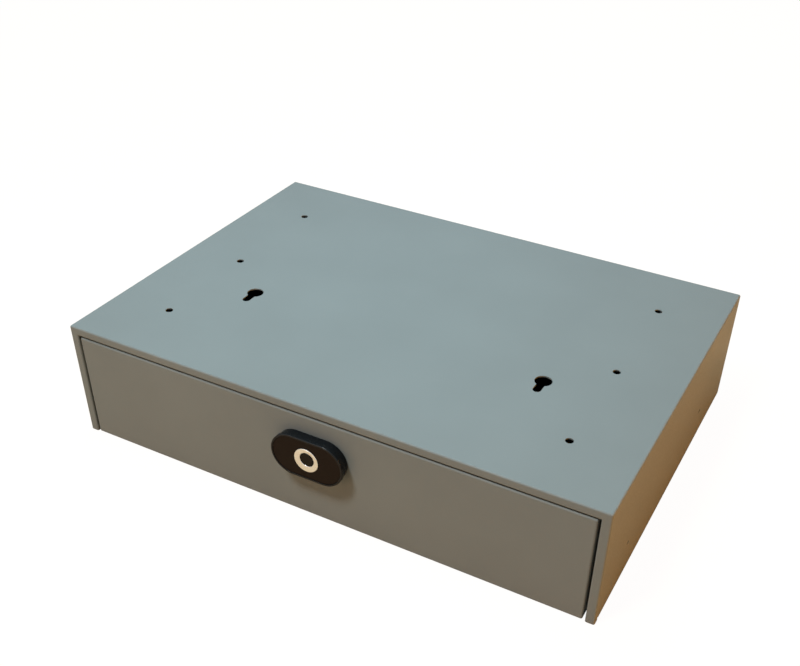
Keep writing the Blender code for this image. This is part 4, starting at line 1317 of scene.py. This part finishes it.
@dataclass
class Studio:
    """Camera, lamps, world and floor. The camera was solved from seven corners of the case."""

    camera_place: Triple = (0.29831, -0.55872, 0.47064)
    right: Triple = (0.88197, 0.47089, 0.01965)
    up: Triple = (-0.29962, 0.52804, 0.79461)
    forward: Triple = (-0.36380, 0.70671, -0.60680)
    sensor: float = 36
    lens: float = 45.88
    shift: tuple[float, float] = (-0.0306, 0.1165)
    clip_start: float = 0.01
    target: Triple = (0, 0, 0.045)
    lamps: tuple[Lamp, ...] = (
        Lamp("window", (-0.35, 1.15, 1.6), 1.0, 8.6, (0.50, 0.84, 1.0)),
        Lamp("ceiling", (-0.07, -0.02, 0.62), 0.3, 2.0, (0.62, 0.90, 1.0)),
        Lamp("key light", (-0.40, -1.0, 1.90), 0.4, 29.5, (1.0, 0.97, 0.91)),
        Lamp("front fill", (-0.7, -1.8, 0.25), 1.2, 7.6, (1.0, 0.52, 0.30)),
        Lamp("side fill", (1.35, -0.05, 0.36), 0.2, 8.4, (1.0, 0.41, 0.03)),
    )
    world_light: float = 0.08
    floor_size: float = 8.0
    floor_gap: float = 0.2 * MM
    floor_colour: Quad = (0.70, 0.49, 0.30, 1)
    floor_roughness: float = 0.8
    floor_share: float = 0.88
    floor_gloss_share: float = 0.05
    floor_glow: float = 1.10

    def camera(self) -> None:
        """Adds the camera at the photograph's place."""
        data = bpy.data.cameras.new("camera")
        data.sensor_width, data.lens = self.sensor, self.lens
        data.shift_x, data.shift_y = self.shift
        data.clip_start = self.clip_start
        obj = bpy.data.objects.new("camera", data)
        bpy.context.scene.collection.objects.link(obj)
        turn = Matrix((self.right, self.up, -Vector(self.forward))).transposed().to_4x4()
        obj.matrix_world = Matrix.Translation(self.camera_place) @ turn
        bpy.context.scene.camera = obj

    @staticmethod
    def seen(nodes: bpy.types.Nodes, links: bpy.types.NodeLinks, camera: float, gloss: float) -> Socket:
        """A value for what the camera sees, itself or in gloss or glass, and 0 for other light.

        Args:
            nodes: the tree's nodes.
            links: the tree's links.
            camera: the value for what the camera sees itself.
            gloss: the value for what it sees in gloss or glass.

        Returns:
            The value.
        """
        path, total = nodes.new("ShaderNodeLightPath"), None
        for kind, share in (("Camera", camera), ("Glossy", gloss), ("Transmission", gloss)):
            part = nodes.new("ShaderNodeMath")
            part.operation = "MULTIPLY"
            part.inputs[1].default_value = share
            links.new(path.outputs[f"Is {kind} Ray"], part.inputs[0])
            if total:
                both = nodes.new("ShaderNodeMath")
                both.operation = "MAXIMUM"
                links.new(total, both.inputs[0])
                links.new(part.outputs["Value"], both.inputs[1])
                part = both
            total = part.outputs["Value"]
        return total

    def world(self) -> None:
        """Adds a dim even light all round, with white behind the object for the camera and in gloss."""
        world = bpy.data.worlds.new("studio")
        bpy.context.scene.world = world
        world.use_nodes = True
        nodes, links = world.node_tree.nodes, world.node_tree.links
        light, white = nodes["Background"], nodes.new("ShaderNodeBackground")
        mix = nodes.new("ShaderNodeMixShader")
        light.inputs["Color"].default_value = white.inputs["Color"].default_value = WHITE
        light.inputs["Strength"].default_value = self.world_light
        links.new(self.seen(nodes, links, 1, 1), mix.inputs["Fac"])
        links.new(light.outputs["Background"], mix.inputs[1])
        links.new(white.outputs["Background"], mix.inputs[2])
        links.new(mix.outputs["Shader"], nodes["World Output"].inputs["Surface"])

    def floor(self) -> None:
        """Adds a pale floor that the camera sees near white, with the object's faint shadow."""
        bpy.ops.object.select_all(action="DESELECT")
        bpy.ops.mesh.primitive_plane_add(size=self.floor_size, location=(0, 0, -self.floor_gap))
        floor = SHOP.placed("floor")
        graph = Graph("pale floor")
        graph.fixed(Base_Color=self.floor_colour, Roughness=self.floor_roughness, Specular_IOR_Level=0.0)
        glow, mix = graph.nodes.new("ShaderNodeEmission"), graph.nodes.new("ShaderNodeMixShader")
        glow.inputs["Strength"].default_value = self.floor_glow
        seen = self.seen(graph.nodes, graph.links, self.floor_share, self.floor_gloss_share)
        graph.links.new(seen, mix.inputs["Fac"])
        graph.links.new(graph.shader.outputs["BSDF"], mix.inputs[1])
        graph.links.new(glow.outputs["Emission"], mix.inputs[2])
        graph.links.new(mix.outputs["Shader"], graph.nodes["Material Output"].inputs["Surface"])
        floor.data.materials.append(graph.material)

    def build(self) -> None:
        """Sets up the whole studio."""
        bpy.context.scene.view_settings.view_transform = "Standard"
        self.camera()
        self.world()
        self.floor()
        for lamp in self.lamps:
            lamp.hang(Vector(self.target))
        LOG.info("studio: camera, world, floor and %d lamps", len(self.lamps))


def main() -> None:
    """Builds the sub-assemblies in order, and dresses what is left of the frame."""
    logging.basicConfig(level=logging.INFO, format="%(name)s: %(message)s")
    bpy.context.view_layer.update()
    Studio().build()
    CaseAssembly().build()
    DrawerAssembly().build()
    for side, sign in SIDES:
        SlideAssembly(side, sign).build()
    LockFace().build()
    LockWorks().build()
    for node in frame["nodes"]:
        SHOP.dress(node, slot_of(node))


if __name__ == "__main__":
    main()
